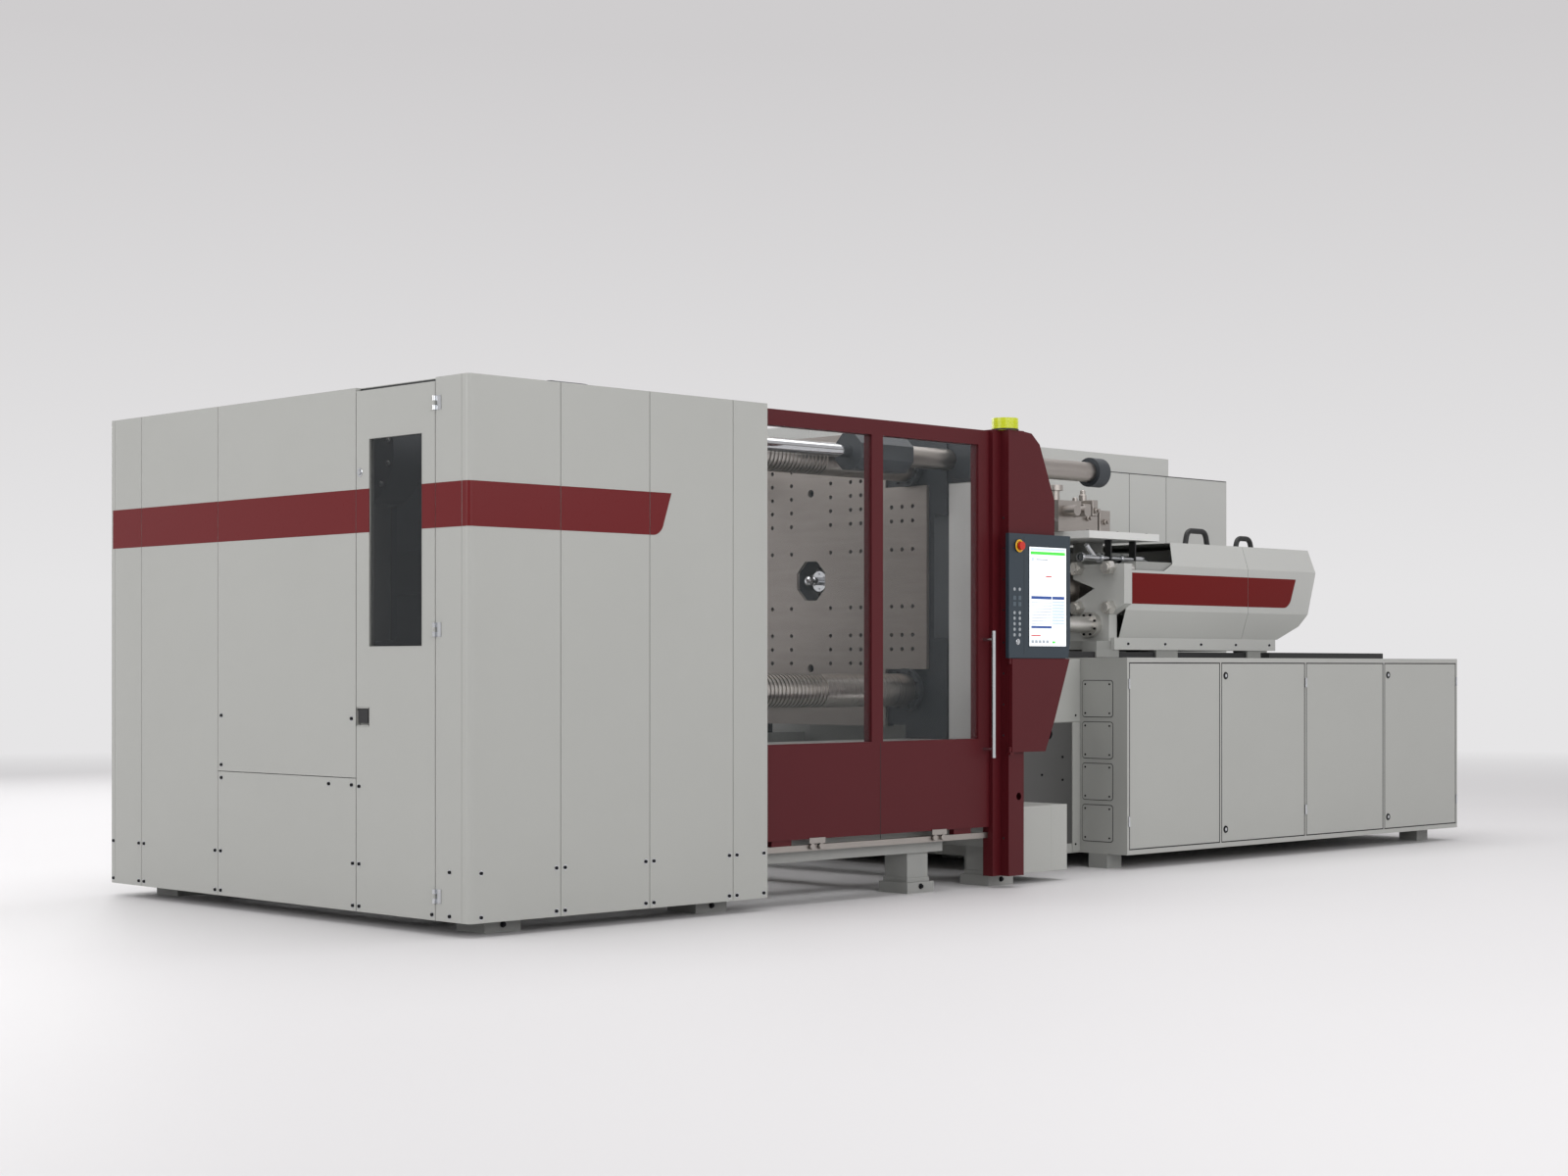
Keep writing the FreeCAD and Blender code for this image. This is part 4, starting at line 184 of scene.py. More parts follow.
def cast_enamel(name, colour, shade):
    """Enamel on a sand casting; the grain is drawn coarse enough to show."""
    material, tree, where = start(name)
    swell = noise(tree, where, 7.0, 5.0, 0.6)
    sand = noise(tree, where, 1 / GRAIN, 3.0)
    relief = add(tree, "ShaderNodeMath", {0: swell, 1: sand}, operation="ADD").outputs[0]
    surface(tree, {"Base Color": between(tree, swell, colour, shade),
                   "Roughness": spread(tree, sand, 0.42, 0.62),
                   "Normal": bumped(tree, relief, 0.6 * MM, 0.3)})
    return material


DARK_CASTING = cast_enamel("cast_iron_anthracite_enamel", "#282d32", "#31363b")
GREY_CASTING = cast_enamel("cast_steel_grey_enamel", "#8c8d8a", "#979895")
print("castings:", DARK_CASTING.name, GREY_CASTING.name)

# %% [markdown]
# ## Bare metal
#
# A few kinds of bare metal show. The mould faces are milled flat, which leaves faint bands across
# the face. The tie bars and rods are turned and ground, so their marks run round them. The
# handles, hinges and covers are plated and nearly smooth. All are one recipe: a noise that
# is stretched along the tool's path shifts the roughness and the relief. The stretch is a scale
# for each axis, so a small number gives long marks along that axis.

# %% Machined steel
def machined_steel(name, colour, marks, roughness, shift, height=0.08 * MM):
    """Bare metal whose tool marks are a noise with its own scale along each axis."""
    material, tree, where = start(name)
    along = add(tree, "ShaderNodeMapping", {"Vector": where, "Scale": marks}).outputs[0]
    cut = noise(tree, along, 1.0, 6.0, 0.65)
    shade = spread(tree, cut, 0.86, 1.08)
    tint = add(tree, "ShaderNodeVectorMath", {0: linear(colour)[:3], "Scale": shade},
               operation="SCALE").outputs[0]
    surface(tree, {"Base Color": tint, "Metallic": 1.0,
                   "Roughness": spread(tree, cut, roughness - shift, roughness + shift),
                   "Normal": bumped(tree, cut, height, 0.4)})
    return material


GROUND_BAR = machined_steel("steel_ground_bar", "#b9b4af", (260.0, 1.5, 1.5), 0.28, 0.03, height=0.01 * MM)
MILLED_STEEL = machined_steel("steel_milled", "#a59f9a", (20.0, 8.0, 90.0), 0.36, 0.08)
CHROME = machined_steel("chrome_plate", "#c9cbce", (60.0, 60.0, 60.0), 0.12, 0.04, height=0.02 * MM)
DARK_CHROME = machined_steel("stainless_heater_cover", "#b9b6b1", (14.0, 30.0, 30.0), 0.3, 0.05)
NICKEL = machined_steel("nickel_plate_satin", "#dcdad6", (60.0, 60.0, 60.0), 0.42, 0.05)
BLACK_OXIDE = machined_steel("steel_black_oxide", "#26272a", (150.0, 150.0, 150.0), 0.4, 0.1)
print("metals:", GROUND_BAR.name, MILLED_STEEL.name, CHROME.name, DARK_CHROME.name, BLACK_OXIDE.name)

# %% [markdown]
# ## A platen: one casting, two finishes
#
# Each platen is a painted casting whose mould face is milled bare. The casting is one piece, so
# its material has to know where the mill has been: everything within the depth of the machined
# skin is bare steel, and the rest is enamel. Comparing the place along the machine with the
# skin's edge gives a mask of zeros and ones, and the mask picks colour, metal and roughness.

# %% Platen finish
SKIN = 19 * MM


def platen_finish(name, edge, bare_side):
    """Milled steel on one side of a plane across the machine, and enamel on the other."""
    material, tree, where = start(name)
    place = add(tree, "ShaderNodeSeparateXYZ", {0: where})
    mask = add(tree, "ShaderNodeMath", {0: place.outputs[0], 1: edge},
               operation="GREATER_THAN" if bare_side > 0 else "LESS_THAN").outputs[0]
    milled = add(tree, "ShaderNodeMapping", {"Vector": where, "Scale": (10.0, 4.0, 26.0)}).outputs[0]
    steel = between(tree, noise(tree, milled, 1.0, 7.0, 0.6), "#96908b", "#aca6a1")
    sand = noise(tree, where, 70.0, 4.0)
    enamel = between(tree, sand, "#23282d", "#31373d")
    surface(tree, {"Base Color": between(tree, mask, enamel, steel),
                   "Metallic": spread(tree, mask, 0.0, 0.85), "Roughness": spread(tree, mask, 0.5, 0.42),
                   "Normal": bumped(tree, sand, 0.3 * MM, 0.2)})
    return material


FIXED_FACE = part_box("fixed_platen")[0].x
MOVING_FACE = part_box("moving_platen")[1].x
FIXED_FINISH = platen_finish("platen_fixed_milled_and_enamel", FIXED_FACE + SKIN, -1)
MOVING_FINISH = platen_finish("platen_moving_milled_and_enamel", MOVING_FACE - SKIN, 1)
print("the mould is at most", round(FIXED_FACE - MOVING_FACE, 3), "m thick")

# %% [markdown]
# ## Plastics, lacquer and glass
#
# Moulded ABS has a fine spark-eroded grain and a gloss of about a half. The coloured bands are
# lacquer film, whose highlight is weak, so that the red stays deep. The windows are polycarbonate
# sheet: one clear and one smoked. A sheet this thin hardly bends light, so mostly transparent
# paint with a sharp highlight looks the same as true refraction, and keeps what is behind it
# bright.

# %% Plastic, film, sheet and light
SPARK_GRAIN = 5 * MM


def moulded_plastic(name, colour, roughness=0.45, shine=0.5):
    """Injection-moulded plastic or a glossy film, with a fine grain in its gloss."""
    material, tree, where = start(name)
    eroded = noise(tree, where, 1 / SPARK_GRAIN)
    surface(tree, {"Base Color": linear(colour), "Specular IOR Level": shine,
                   "Roughness": spread(tree, eroded, roughness - 0.06, roughness + 0.06),
                   "Normal": bumped(tree, eroded, 0.1 * MM, 0.3)})
    return material


def clear_sheet(name, colour, cover):
    """Polycarbonate sheet; cover is how much of the light it stops."""
    material, tree, where = start(name)
    haze = noise(tree, where, 3.0, 3.0)
    surface(tree, {"Base Color": linear(colour), "Alpha": cover, "Specular IOR Level": 0.25,
                   "Roughness": spread(tree, haze, 0.03, 0.08)})
    return material


def lit_plastic(name, colour, strength):
    """A diffuser with lamps or a screen's back light behind it."""
    material, tree, where = start(name)
    spots = add(tree, "ShaderNodeTexVoronoi", {"Vector": where, "Scale": 90.0})
    glow = add(tree, "ShaderNodeMapRange", {"Value": spots.outputs[0], "From Max": 0.6,
                                            "To Min": strength * 1.05, "To Max": strength * 0.9})
    surface(tree, {"Base Color": linear(colour), "Roughness": 0.25, "Emission Color": linear(colour),
                   "Emission Strength": glow.outputs[0]})
    return material


RED_FILM = moulded_plastic("lacquer_film_red", "#641216", 0.3, shine=0.2)
HOOD_FILM = moulded_plastic("lacquer_film_deep_red", "#670504", 0.35, shine=0.12)
SLATE_ABS = moulded_plastic("abs_slate", "#22303a")
BLACK_ABS = moulded_plastic("abs_black", "#101113")
RUBBER = moulded_plastic("epdm_rubber_black", "#0d0d0e", 0.7)
KEY_GREY = moulded_plastic("abs_key_grey", "#9aa0a4", 0.5)
KEY_DARK = moulded_plastic("abs_key_dark", "#4b5861", 0.5)
STOP_RED = moulded_plastic("abs_signal_red", "#c2230f", 0.3)
STOP_YELLOW = moulded_plastic("abs_signal_yellow", "#d9a514", 0.35)
CLEAR_SHEET = clear_sheet("polycarbonate_clear", "#c9d0d2", 0.02)
SMOKED_SHEET = clear_sheet("polycarbonate_smoked", "#303335", 0.38)
LAMP_GREEN = lit_plastic("lamp_lens_green", "#a0a80c", 0.5)
SCREEN_WHITE = lit_plastic("screen_field_white", "#dfe3e6", 0.75)
SCREEN_GREEN = lit_plastic("screen_field_green", "#3fc23a", 0.7)
SCREEN_BLUE = lit_plastic("screen_field_blue", "#22407e", 0.7)
SCREEN_PALE = lit_plastic("screen_field_pale_blue", "#b4c1d9", 0.7)
SCREEN_RED = lit_plastic("screen_field_red", "#b03038", 0.7)
SCREEN_GREY = lit_plastic("screen_field_grey", "#8f979e", 0.7)
print(len(bpy.data.materials), "materials so far")

# %% [markdown]
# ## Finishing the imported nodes
#
# Every node keeps its shape and takes one finish from this list.

# %% Finishes for the nodes
FINISHES = {
    GREY_COAT: ["operator_panels", "end_door", "end_and_guard_panels", "rear_and_roof_panels",
                "injection_base", "base_door_1", "base_door_2", "base_door_3", "base_door_4"],
    LIGHT_COAT: ["electrical_cabinet", "electrical_door_1", "electrical_door_2", "hood_front_lid",
                 "hood_rear_lid", "hood_shell", "injection_front_plate", "injection_drive"],
    PEARL_COAT: ["hopper_deck"],
    RED_COAT: ["operator_gate", "rear_gate", "gate_posts", "post_fairing", "control_hatch"],
    BLACK_COAT: ["injection_rails", "housing_frame"],
    DARK_CASTING: ["tie_bar_nuts", "fixed_cylinders"],
    GREY_CASTING: ["clamp_bed", "levelling_feet", "injection_saddle", "feed_block"],
    GROUND_BAR: ["tie_bars", "barrel", "screw"],
    NICKEL: ["unit_rods"],
    MILLED_STEEL: ["half_nuts_near", "half_nuts_rear", "ejector", "gate_rails", "valve_block"],
    CHROME: ["travel_rods", "door_hinges", "door_lock", "operator_gate_handle", "key_switch",
             "quarter_turn_lock_1", "quarter_turn_lock_2", "quarter_turn_lock_3", "quarter_turn_lock_4"],
    DARK_CHROME: ["barrel_cover"],
    FIXED_FINISH: ["fixed_platen"],
    MOVING_FINISH: ["moving_platen"],
    SMOKED_SHEET: ["end_door_window"],
    CLEAR_SHEET: ["operator_gate_windows", "rear_gate_windows"],
    SLATE_ABS: ["control_panel"],
    BLACK_ABS: ["door_latch"],
    SCREEN_WHITE: ["control_screen"],
    STOP_RED: ["emergency_stop"],
    LAMP_GREEN: ["beacon"],
}
for material, names in FINISHES.items():
    for name in names:
        NODES[name].data.materials.clear()
        NODES[name].data.materials.append(material)
plain = sorted(set(NODES) - {name for names in FINISHES.values() for name in names})
print("nodes with no finish:", plain)

# %% [markdown]
# ## Small tools for the added pieces
#
# Most added pieces are plates, turned pieces, bent bars or rows of the same screw. Each tool
# below adds one such shape to a mesh that is still open, so that a whole row of screws can be one
# piece. A plate starts as one face that is extruded. A turned piece starts as a profile that is
# spun round its axis, just as on a lathe. A bent bar is a round section swept along a line. Places
# are in metres, and the sizes of turned pieces and screws are in millimetres.

# %% The mesh becomes a piece
def piece(name, mesh, material, body):
    """Closes the mesh into an object that rides on a body and takes its finish from a slot."""
    bmesh.ops.remove_doubles(mesh, verts=mesh.verts, dist=0.01 * MM)
    bmesh.ops.recalc_face_normals(mesh, faces=mesh.faces)
    data = bpy.data.meshes.new(name)
    mesh.to_mesh(data)
    mesh.free()
    data.materials.append(material)
    made = bpy.data.objects.new(name, data)
    bpy.context.scene.collection.objects.link(made)
    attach(made, body)
    return made


def one(tool, *sizes, **more):
    """A new mesh that holds one shape."""
    mesh = bmesh.new()
    tool(mesh, *sizes, **more)
    return mesh


# %% Plates
def plate(mesh, outline, push, bend=0.0, corner=None, edge=0.0):
    """A flat outline pushed out into a plate; one corner, or every corner, may be rounded."""
    verts = [mesh.verts.new(point) for point in outline]
    face = mesh.faces.new(verts)
    if bend:
        chosen = verts if corner is None else [verts[corner]]
        rounded = bmesh.ops.bevel(mesh, geom=chosen, offset=bend, segments=6, profile=0.5,
                                  affect="VERTICES", material=-1)
        face = [f for f in mesh.faces if f.is_valid and set(rounded["verts"]) & set(f.verts)][0]
    pushed = bmesh.ops.extrude_face_region(mesh, geom=[face], use_keep_orig=True)
    top = [item for item in pushed["geom"] if isinstance(item, bmesh.types.BMVert)]
    bmesh.ops.translate(mesh, verts=top, vec=push)
    if edge:
        rim = [item for item in pushed["geom"] if isinstance(item, bmesh.types.BMEdge)]
        bmesh.ops.bevel(mesh, geom=rim, offset=edge, segments=2, profile=0.5, affect="EDGES",
                        material=-1)


def brick(mesh, low, high, edge=0.0):
    """A box between two corners, with its edges eased."""
    middle = (low + high) / 2
    size = high - low
    made = bmesh.ops.create_cube(mesh, size=1.0)
    bmesh.ops.scale(mesh, verts=made["verts"], vec=size)
    bmesh.ops.translate(mesh, verts=made["verts"], vec=middle)
    if edge:
        edges = list({e for v in made["verts"] for e in v.link_edges})
        bmesh.ops.bevel(mesh, geom=edges, offset=edge, segments=2, profile=0.5, affect="EDGES",
                        material=-1)


# %% Turned pieces
def turned(mesh, centre, axis, profile, steps=24):
    """Spins a profile of (radius, distance along the axis), in mm, round an axis."""
    axis = Vector(axis).normalized()
    side = axis.orthogonal().normalized()
    verts = [mesh.verts.new(centre + axis * (far * MM) + side * (radius * MM)) for radius, far in profile]
    edges = [mesh.edges.new(pair) for pair in zip(verts, verts[1:])]
    bmesh.ops.spin(mesh, geom=verts + edges, cent=centre, axis=axis, dvec=(0, 0, 0),
                   angle=math.tau, steps=steps, use_merge=True)


def hoop(inner, outer, height, inward, down):
    """The profile of a flat ring whose outer edge is chamfered inward and down."""
    return [(inner, 0), (outer, 0), (outer, height - down), (outer - inward, height), (inner, height),
            (inner, 0)]


def hexagon(mesh, centre, axis, across, height):
    """A hexagon nut or bolt head with chamfered corners, its sizes in mm."""
    axis = Vector(axis).normalized()
    radius = across * MM / math.sqrt(3)
    made = bmesh.ops.create_cone(mesh, cap_ends=True, segments=6, radius1=radius, radius2=radius,
                                 depth=height * MM)
    bmesh.ops.transform(mesh, verts=made["verts"], matrix=axis.to_track_quat("Z", "Y").to_matrix().to_4x4())
    bmesh.ops.translate(mesh, verts=made["verts"], vec=centre + axis * (height * MM / 2))
    rim = list({e for v in made["verts"] for e in v.link_edges})
    bmesh.ops.bevel(mesh, geom=rim, offset=height * MM * 0.08, segments=1, profile=0.5, affect="EDGES",
                    material=-1)


def cap_screw(mesh, centre, axis, radius=7, height=4, steps=14):
    """A socket screw: a round head with a sunk socket, its sizes in mm."""
    turned(mesh, centre, axis, [(0, 0), (radius, 0), (radius, height * 0.8), (radius * 0.85, height),
                                (radius * 0.5, height), (radius * 0.45, height * 0.35),
                                (0, height * 0.35)], steps)


def ring_of(count, radius, turn=0.5):
    """The offsets of a ring of screws; turn is the first one's share of a step."""
    angles = [math.tau * (n + turn) / count for n in range(count)]
    return [(radius * math.cos(angle), radius * math.sin(angle)) for angle in angles]


# %% Bent bars
def bent_bar(mesh, route, radius, steps=12):
    """Sweeps a round section along a route of points, with a ring at every point."""
    rings = []
    for n, point in enumerate(route):
        before = route[max(n - 1, 0)]
        after = route[min(n + 1, len(route) - 1)]
        ahead = (after - before).normalized()
        made = bmesh.ops.create_circle(mesh, cap_ends=False, segments=steps, radius=radius)
        turn_to = ahead.to_track_quat("Z", "Y").to_matrix().to_4x4()
        bmesh.ops.transform(mesh, verts=made["verts"], matrix=Matrix.Translation(point) @ turn_to)
        rings.append(list({e for v in made["verts"] for e in v.link_edges}))
    for first, second in zip(rings, rings[1:]):
        bmesh.ops.bridge_loops(mesh, edges=first + second)
    for ring in (rings[0], rings[-1]):
        bmesh.ops.contextual_create(mesh, geom=ring)


def rounded_route(corners, radius, steps=6):
    """A line through its corners with each inner corner turned into an arc."""
    route = [corners[0]]
    for before, corner, after in zip(corners, corners[1:], corners[2:]):
        into = (before - corner).normalized()
        out = (after - corner).normalized()
        for n in range(steps + 1):
            share = n / steps
            start_point = corner + into * radius
            end_point = corner + out * radius
            route.append(start_point.lerp(corner, share).lerp(corner.lerp(end_point, share), share))
    return route + [corners[-1]]


print("tools ready: plate, brick, turned, hoop, hexagon, cap_screw, ring_of, bent_bar")

# %% [markdown]
# ## The red band
#
# A band of red lacquer film runs round the clamp end and along the operator's side. The film is
# cut at every joint between two panels, so each panel has its own strip and the dark joint stays
# open. The corner post is rolled from one sheet, so its strip follows the round corner: it starts
# as a line of points along the sheet, which is extruded upwards and given its thickness.

# %% Band sizes
BAND_LOW = 1.580
BAND_HIGH = 1.755
FILM = 0.6 * MM
JOINT = 1.5 * MM
END_JOINTS = (0.043, 0.210, 0.739, 1.763, 2.395, 2.645)
SIDE_JOINTS = (0.455, 0.925, 1.394)
WINDOW_NEAR = 0.299
WINDOW_FAR = 0.645
CORNER_ROUND = 0.020
NEAR_SIDE = Vector((0, -1, 0))
CLAMP_SIDE = Vector((-1, 0, 0))


# %% Strips on the end face
def end_outline(x, near, far, low, high):
    """The corners of an upright rectangle across the machine."""
    return [at(x, near, low), at(x, far, low), at(x, far, high), at(x, near, high)]


def end_strip(name, near, far, body):
    """A strip of film on the clamp end, between two places across the machine."""
    outline = end_outline(0, near, far, BAND_LOW, BAND_HIGH)
    piece(name, one(plate, outline, CLAMP_SIDE * FILM), RED_FILM, body)


end_strip("band_hinge_panel", END_JOINTS[0] + JOINT, END_JOINTS[1] - JOINT, "machine")
end_strip("band_door_near", END_JOINTS[1] + JOINT, WINDOW_NEAR - JOINT, "service_door")
end_strip("band_door_far", WINDOW_FAR + JOINT, END_JOINTS[2] - JOINT, "service_door")
for n, (near, far) in enumerate(zip(END_JOINTS[2:], END_JOINTS[3:])):
    end_strip("band_end_panel_%d" % (n + 1), near + JOINT, far - JOINT, "machine")

# %% The strip round the corner post
corner_line = [at(0, END_JOINTS[0] - JOINT, BAND_LOW)]
for n in range(9):
    angle = math.radians(90 * n / 8)
    corner_line.append(at(CORNER_ROUND * (1 - math.cos(angle)), CORNER_ROUND * (1 - math.sin(angle)),
                          BAND_LOW))
corner_line.append(at(SIDE_JOINTS[0] - JOINT, 0, BAND_LOW))
corner_band = bmesh.new()
corner_verts = [corner_band.verts.new(point) for point in corner_line]
corner_edges = [corner_band.edges.new(pair) for pair in zip(corner_verts, corner_verts[1:])]
raised = bmesh.ops.extrude_edge_only(corner_band, edges=corner_edges)
raised_verts = [item for item in raised["geom"] if isinstance(item, bmesh.types.BMVert)]
bmesh.ops.translate(corner_band, verts=raised_verts, vec=(0, 0, BAND_HIGH - BAND_LOW))
bmesh.ops.recalc_face_normals(corner_band, faces=corner_band.faces)
outward = sum((f.normal.dot(NEAR_SIDE + CLAMP_SIDE) for f in corner_band.faces))
bmesh.ops.solidify(corner_band, geom=corner_band.faces[:], thickness=-FILM if outward > 0 else FILM)
piece("band_corner_post", corner_band, RED_FILM, "machine")

# %% Strips on the operator's side
SLANT_TOP = 1.044
SLANT_FOOT = 0.985


def side_strip(name, first, foot, top, side, low, high, film, body, **more):
    """A strip that faces the operator; its far end runs from the foot's place to the top's."""
    outline = [at(first, side, low), at(foot, side, low), at(top, side, high), at(first, side, high)]
    piece(name, one(plate, outline, NEAR_SIDE * FILM, **more), film, body)


side_strip("band_side_panel_1", SIDE_JOINTS[0] + JOINT, SIDE_JOINTS[1] - JOINT, SIDE_JOINTS[1] - JOINT,
           0, BAND_LOW, BAND_HIGH, RED_FILM, "machine")
side_strip("band_side_panel_2", SIDE_JOINTS[1] + JOINT, SLANT_FOOT, SLANT_TOP,
           0, BAND_LOW, BAND_HIGH, RED_FILM, "machine", bend=40 * MM, corner=1)

# %% [markdown]
# ## Panel screws
#
# Each panel is held along its foot by black socket screws, and a bright washer shows as a ring
# round each one. The screws of all fixed panels are one piece and the washers another, because
# they never move apart. The same rows are used on both faces: a list of places along the face and
# a list of heights.

# %% Screws and washers of the housing
WASHER = 11
FOOT_ROWS = (0.078, 0.248)
BESIDE = 0.022
SPLIT = 0.592


def fastened(name, spots, body):
    """A screw and its washer at each (place, axis), as two pieces."""
    screws = bmesh.new()
    washers = bmesh.new()
    for place, axis in spots:
        turned(washers, place, axis, [(0, 0), (WASHER, 0), (WASHER, 1), (0, 1)], 16)
        cap_screw(screws, place + axis * MM, axis)
    piece(name + "_screws", screws, BLACK_OXIDE, body)
    piece(name + "_washers", washers, CHROME, body)


side_places = [0.060, 1.574] + [joint + side * BESIDE for joint in SIDE_JOINTS for side in (-1, 1)]
end_places = [0.120, 0.762, 2.640]
end_places += [joint + side * BESIDE for joint in END_JOINTS[3:5] for side in (-1, 1)]
spots = []
for height in FOOT_ROWS:
    spots += [(at(along, 0, height), NEAR_SIDE) for along in side_places]
    spots += [(at(0, across, height), CLAMP_SIDE) for across in end_places]
for across, rise in ((0.770, -0.028), (1.735, -0.028), (0.930, -0.028), (1.735, 0.240), (0.770, 0.240),
                     (1.735, 0.028)):
    spots.append((at(0, across, SPLIT + rise), CLAMP_SIDE))
fastened("housing", spots, "machine")
print("screws along the side:", len(side_places), "and along the end:", len(end_places))

# %% [markdown]
# ## The service door
#
# The smoked window sits in a black rubber section, whose thin lip shows round it. A chromed ring
# surrounds the lock, and the door has its own screws, because they ride with it.

# %% Window seal
def lip(mesh, low, high, thin, push):
    """A thin lip round a rectangle that is square to the axis numbered thin."""
    first, second = [axis for axis in range(3) if axis != thin]
    corners = []
    for share_one, share_two in ((0, 0), (1, 0), (1, 1), (0, 1)):
        point = Vector(low)
        point[first] += (high[first] - low[first]) * share_one
        point[second] += (high[second] - low[second]) * share_two
        corners.append(mesh.verts.new(point))
    edges = [mesh.edges.new(pair) for pair in zip(corners, corners[1:] + corners[:1])]
    pushed = bmesh.ops.extrude_edge_only(mesh, edges=edges)
    top = [item for item in pushed["geom"] if isinstance(item, bmesh.types.BMVert)]
    bmesh.ops.translate(mesh, verts=top, vec=push)


WINDOW_LOW = 1.123
WINDOW_HIGH = 1.953
seal = one(lip, at(0, WINDOW_NEAR, WINDOW_LOW), at(0, WINDOW_FAR, WINDOW_HIGH), 0, CLAMP_SIDE * 2 * MM)
piece("service_door_window_seal", seal, RUBBER, "service_door")

# %% Lock ring, screws and latch frame
lock_ring = one(turned, at(0, 0.712, 1.823), CLAMP_SIDE, hoop(12, 18, 3, 2, 1), 32)
piece("service_door_lock_ring", lock_ring, CHROME, "service_door")
spots = [(at(0, across, height), CLAMP_SIDE)
         for across, height in ((0.232, 0.078), (0.718, 0.078), (0.718, 0.248), (0.718, 0.560))]
fastened("service_door", spots, "service_door")
latch_frame = one(lip, at(0, 0.649, 0.803), at(0, 0.733, 0.878), 0, CLAMP_SIDE * 2 * MM)
piece("service_door_latch_frame", latch_frame, RUBBER, "service_door")

# %% [markdown]
# ## The control panel
#
# The panel is a slate-coloured moulding with an upright screen, a film keypad on its left and the
# emergency stop above that. The keys stand a millimetre proud. Round keys are turned, and square
# ones are small bricks with eased edges. A dark joint runs down between keypad and screen.

# %% Keys
PANEL_FRONT = -0.040
KEY_COLUMNS = (3.180, 3.218)
KEY_PROFILE = [(0, -1), (8, -1), (8, 1.2), (6.4, 1.8), (0, 1.8)]
KEY_HALF = 0.010
ROUND_ROWS = [1.407] + [1.296 - 0.026 * n for n in range(5)]
SQUARE_ROWS = (1.366, 1.337)
light_keys = bmesh.new()
dark_keys = bmesh.new()
for across in KEY_COLUMNS:
    for height in ROUND_ROWS:
        turned(light_keys, at(across, PANEL_FRONT, height), NEAR_SIDE, KEY_PROFILE)
    for height in SQUARE_ROWS:
        brick(dark_keys, at(across - KEY_HALF, PANEL_FRONT - 2 * MM, height - KEY_HALF),
              at(across + KEY_HALF, PANEL_FRONT + MM, height + KEY_HALF), edge=1.5 * MM)
piece("panel_round_keys", light_keys, KEY_GREY, "machine")
piece("panel_square_keys", dark_keys, KEY_DARK, "machine")
joint = one(brick, at(3.2500, PANEL_FRONT - 0.4 * MM, 1.100), at(3.2515, PANEL_FRONT + MM, 1.655))
piece("panel_joint", joint, BLACK_ABS, "machine")
print("keys:", len(KEY_COLUMNS) * (len(ROUND_ROWS) + len(SQUARE_ROWS)))

# %% Emergency stop collar, key switch collar and screen bezel
stop_ring = one(turned, at(3.210, PANEL_FRONT - 6 * MM, 1.611), NEAR_SIDE, hoop(21, 30, 3, 3, 1.5), 40)
piece("emergency_stop_collar", stop_ring, STOP_YELLOW, "machine")
key_ring = one(turned, at(3.205, PANEL_FRONT, 1.160), NEAR_SIDE, hoop(9.4, 14, 3, 1.5, 1), 32)
piece("key_switch_collar", key_ring, CHROME, "machine")
bezel = one(lip, at(3.284, PANEL_FRONT, 1.134), at(3.570, PANEL_FRONT, 1.616), 1, NEAR_SIDE * MM)
piece("screen_bezel", bezel, BLACK_ABS, "machine")

# %% [markdown]
# The screen shows a plain control page: a status line, a menu line, a drawing area, a table with
# one chosen row and a line of buttons. Each colour is one thin piece of flat fields just in front
# of the screen, so the page is made of shapes only and says nothing.

# %% The page on the screen
SCREEN_X = (3.290, 3.564)
SCREEN_Z = (1.140, 1.610)
PAGE = PANEL_FRONT - 0.3 * MM


def fields(name, material, spans):
    """Flat fields of one colour; each span is left, right, foot and head as shares of the screen."""
    mesh = bmesh.new()
    wide = SCREEN_X[1] - SCREEN_X[0]
    tall = SCREEN_Z[1] - SCREEN_Z[0]
    for left, right, foot, head in spans:
        brick(mesh, at(SCREEN_X[0] + wide * left, PAGE, SCREEN_Z[0] + tall * foot),
              at(SCREEN_X[0] + wide * right, PANEL_FRONT, SCREEN_Z[0] + tall * head))
    piece(name, mesh, material, "machine")


rows = [0.22 + 0.031 * n for n in range(8)]
fields("screen_status_line", SCREEN_GREEN, [(0.03, 0.97, 0.925, 0.955), (0.62, 0.70, 0.030, 0.050)])
fields("screen_menu_line", SCREEN_PALE, [(0.03, 0.97, 0.965, 0.990), (0.05, 0.12, 0.860, 0.895)]
       + [(0.62, 0.95, foot, foot + 0.022) for foot in rows])
fields("screen_chosen_row", SCREEN_BLUE, [(0.05, 0.60, 0.475, 0.505), (0.62, 0.95, 0.475, 0.505),
                                          (0.05, 0.60, 0.180, 0.204)])
fields("screen_rules", SCREEN_GREY, [(0.05, 0.60, foot, foot + 0.006) for foot in rows]
       + [(0.05, 0.95, 0.530, 0.534), (0.05, 0.95, 0.850, 0.853), (0.18, 0.50, 0.870, 0.880)]
       + [(0.05 + 0.10 * n, 0.12 + 0.10 * n, 0.030, 0.060) for n in range(5)])
fields("screen_warning_field", SCREEN_RED, [(0.44, 0.60, 0.700, 0.712), (0.05, 0.30, 0.100, 0.112)])
fields("screen_drawing", SCREEN_PALE, [(0.15, 0.85, 0.600, 0.606), (0.15, 0.156, 0.600, 0.660),
                                       (0.844, 0.85, 0.600, 0.660), (0.30, 0.70, 0.654, 0.660)])

# %% [markdown]
# ## Column, lamp and gates
#
# The lamp on the column is a ribbed lens on a black foot. The operator's gate has a dark joint in
# its lower sheet and small rollers under its rail, and the column has a row of screws.

